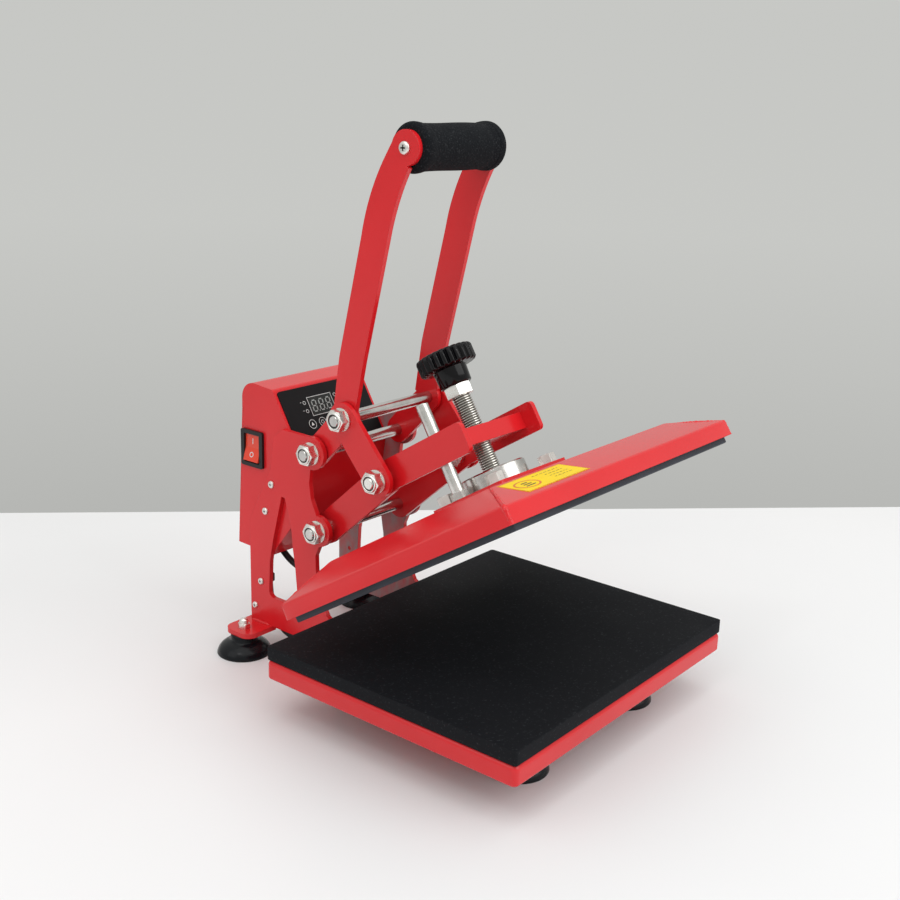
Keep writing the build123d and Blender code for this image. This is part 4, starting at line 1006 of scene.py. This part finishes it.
def key_symbols(key_y):
    """Outlines on the four keys: a ring on each, and up, circle, down and plus inside them."""
    symbols = []
    side, foot, tip = 0.0018, 0.0012, 0.002
    long, line = 0.0034, 0.0007
    for k, x in enumerate((-0.0275, -0.015, -0.0025, 0.010)):
        symbols += ring_parts(x, key_y, 0.0041, PRINT_LINE)
        if k == 0:
            symbols.append([(x - side, key_y - foot), (x + side, key_y - foot), (x, key_y + tip)])
        elif k == 1:
            symbols += ring_parts(x, key_y, 0.0016, PRINT_LINE, parts=20)
        elif k == 2:
            symbols.append([(x - side, key_y + foot), (x, key_y - tip), (x + side, key_y + foot)])
        else:
            symbols += [bar(x, key_y, long, line), bar(x, key_y, line, long)]
    return symbols


def panel_marks():
    """White outline, grey digits, lamp rings and button symbols of the control panel."""
    length = (Vector(SLOPE_TOP) - Vector(SLOPE_FOOT)).length
    x, y = -0.008, length - 0.0225
    digit_pitch = 0.0088
    digits = []
    for k in range(3):
        digit_x = x + (k - 1) * digit_pitch
        digits += digit_segments(digit_x, y, 0.0048, 0.0104, 0.0011)
        digits.append(bar(digit_x + 0.0042, y - 0.0052, 0.001, 0.001))
    outline = frame_bars(x, y, 0.0296, 0.0176, PRINT_LINE)
    lamps = []
    for dx, dy in ((-0.0195, 0.0045), (-0.0195, -0.0035), (0.0195, 0.0060)):
        lamps += ring_parts(x + dx, y + dy, 0.0015, PRINT_LINE, parts=20)
        lamps.append(bar(x + dx * 1.2, y + dy + 0.001, 0.0014, PRINT_LINE, 0.4))
    symbols = key_symbols(length - 0.0385)
    for name, outlines, above_film, ink, slot in (
        ("display_digits", digits, 0.0001, DIGIT, "smoked_window"),
        ("display_outline", outline, 0.0001, PRINT, "panel_film"),
        ("lamp_rings", lamps, 0.0, PRINT, "panel_film"),
        ("key_symbols", symbols, 0.0002, PRINT, "panel_film"),
    ):
        place = panel_place() @ Matrix.Translation((0, 0, PANEL_FILM + above_film))
        plates(name, outlines, 0.00005, place, ink, "base")


def rocker_face(upper):
    """Place on the middle of the rocker's upper or lower outer face."""
    outwards, smallest = -0.5, 2e-5  # the face's x normal at most, and its area at least
    middle, normal, area = Vector(), Vector(), 0.0
    for face in nodes["power_rocker"].data.polygons:
        on_side = (face.center.z > ROCKER_PIVOT.z) == upper
        if face.normal.x < outwards and on_side and face.area > smallest:
            middle += face.center * face.area
            normal += face.normal * face.area
            area += face.area
    out = normal.normalized()
    level = Vector((0, 0, 1)).cross(out).normalized()
    turn = Matrix((level, out.cross(level), out)).transposed().to_4x4()
    return Matrix.Translation(middle / area) @ turn


def rocker_marks():
    """White bar and ring of the power switch."""
    marks = {"on": [bar(0, 0, 0.0009, 0.0052)], "off": ring_parts(0, 0, 0.0021, 0.0008)}
    for word, outlines in marks.items():
        place = rocker_face(upper=word == "on")
        plates(f"rocker_{word}_mark", outlines, 0.00006, place, PRINT, "rocker")


# -------------------- camera, floor and light

def add_camera():
    """The camera, turned by its yaw, pitch and roll."""
    yaw, pitch, roll = CAMERA_YAW, CAMERA_PITCH, CAMERA_ROLL
    ahead = Vector((-sin(yaw) * cos(pitch), cos(yaw) * cos(pitch), -sin(pitch)))
    level = Vector((cos(yaw), sin(yaw), 0))
    up = level.cross(ahead)
    right = cos(roll) * level + sin(roll) * up
    above = -sin(roll) * level + cos(roll) * up
    data = bpy.data.cameras.new("camera")
    data.sensor_width = 36
    data.lens = CAMERA_LENS
    data.clip_start = 0.01
    camera = bpy.data.objects.new("camera", data)
    turn = Matrix((right, above, -ahead)).transposed()
    camera.matrix_world = Matrix.Translation(CAMERA_PLACE) @ turn.to_4x4()
    bpy.context.scene.collection.objects.link(camera)
    bpy.context.scene.camera = camera


def add_floor():
    """A pale table top that ends behind the machine."""
    left, right = Vector(TABLE_EDGE[0]), Vector(TABLE_EDGE[1])
    across = (right - left).normalized()
    away = Vector((-across.y, across.x, 0))
    back = (left + right) / 2
    corners = [back - across * TABLE_HALF, back + across * TABLE_HALF]
    corners += [corner - away * TABLE_DEEP for corner in reversed(corners)]
    verts = [corner - Vector((0, 0, TABLE_SHEET)) for corner in corners] + corners
    faces = [(0, 1, 2, 3), (4, 5, 6, 7), (0, 1, 5, 4), (1, 2, 6, 5), (2, 3, 7, 6), (3, 0, 4, 7)]
    make("floor", verts, faces, FLOOR, None)


def area_light(name, place, target, size, power):
    """A white rectangular light at a place, facing a target."""
    data = bpy.data.lights.new(name, "AREA")
    data.shape = "RECTANGLE"
    data.size, data.size_y = size
    data.energy = power
    light = bpy.data.objects.new(name, data)
    light.location = place
    light.rotation_mode = "QUATERNION"
    light.rotation_quaternion = (Vector(target) - Vector(place)).to_track_quat("-Z", "Y")
    bpy.context.scene.collection.objects.link(light)


def add_light():
    """Three large soft boxes, and two small lamps for sharper highlights."""
    area_light("ceiling_box", (-0.2, -0.5, 2.1), (0, 0, 0), (2.8, 2.4), 15.5)
    area_light("left_box", (-1.9, 0.6, 1.5), (0, 0, 0.15), (1.6, 1.6), 5.5)
    area_light("front_box", (0.6, -2.2, 1.3), (0, 0, 0.15), (2.2, 1.4), 17)
    area_light("lamp_left", (-1.2, -0.2, 1.7), (0, 0, 0.1), (0.22, 0.22), 1.6)
    area_light("lamp_front", (-0.1, -1.5, 1.6), (0, 0, 0.1), (0.22, 0.22), 1.6)


def add_world():
    """A pale grey room that is lighter towards its ceiling."""
    world = bpy.data.worlds.new("soft_room")
    bpy.context.scene.world = world
    world.use_nodes = True
    tree = world.node_tree
    where = tree.nodes.new("ShaderNodeTexCoord").outputs["Generated"]
    split = tree.nodes.new("ShaderNodeSeparateXYZ")
    tree.links.new(where, split.inputs[0])
    half = tree.nodes.new("ShaderNodeMapRange")
    half.inputs["From Min"].default_value = -1.0
    tree.links.new(split.outputs["Z"], half.inputs["Value"])
    ramp = tree.nodes.new("ShaderNodeValToRGB")
    elements = ramp.color_ramp.elements
    while len(elements) < len(ROOM_GREYS):
        elements.new(0.5)
    for element, (position, grey) in zip(elements, ROOM_GREYS):
        element.position = position
        element.color = (grey, grey * 1.01, grey * 0.975, 1)
    tree.links.new(half.outputs["Result"], ramp.inputs["Fac"])
    tree.links.new(ramp.outputs["Color"], tree.nodes["Background"].inputs["Color"])


dress_nodes()
add_camera()
mains_cord(*mains_plug())
heater_lead()
cover_skin()
cover_welds()
tab_welds()
sticker_marks()
bed_pad()
foam_sleeve()
screw_thread()
fluted_knob()
suction_cups()
nut_collars()
screw_slots()
panel_marks()
rocker_marks()
add_floor()
add_light()
add_world()
bpy.context.scene.view_settings.view_transform = "Standard"
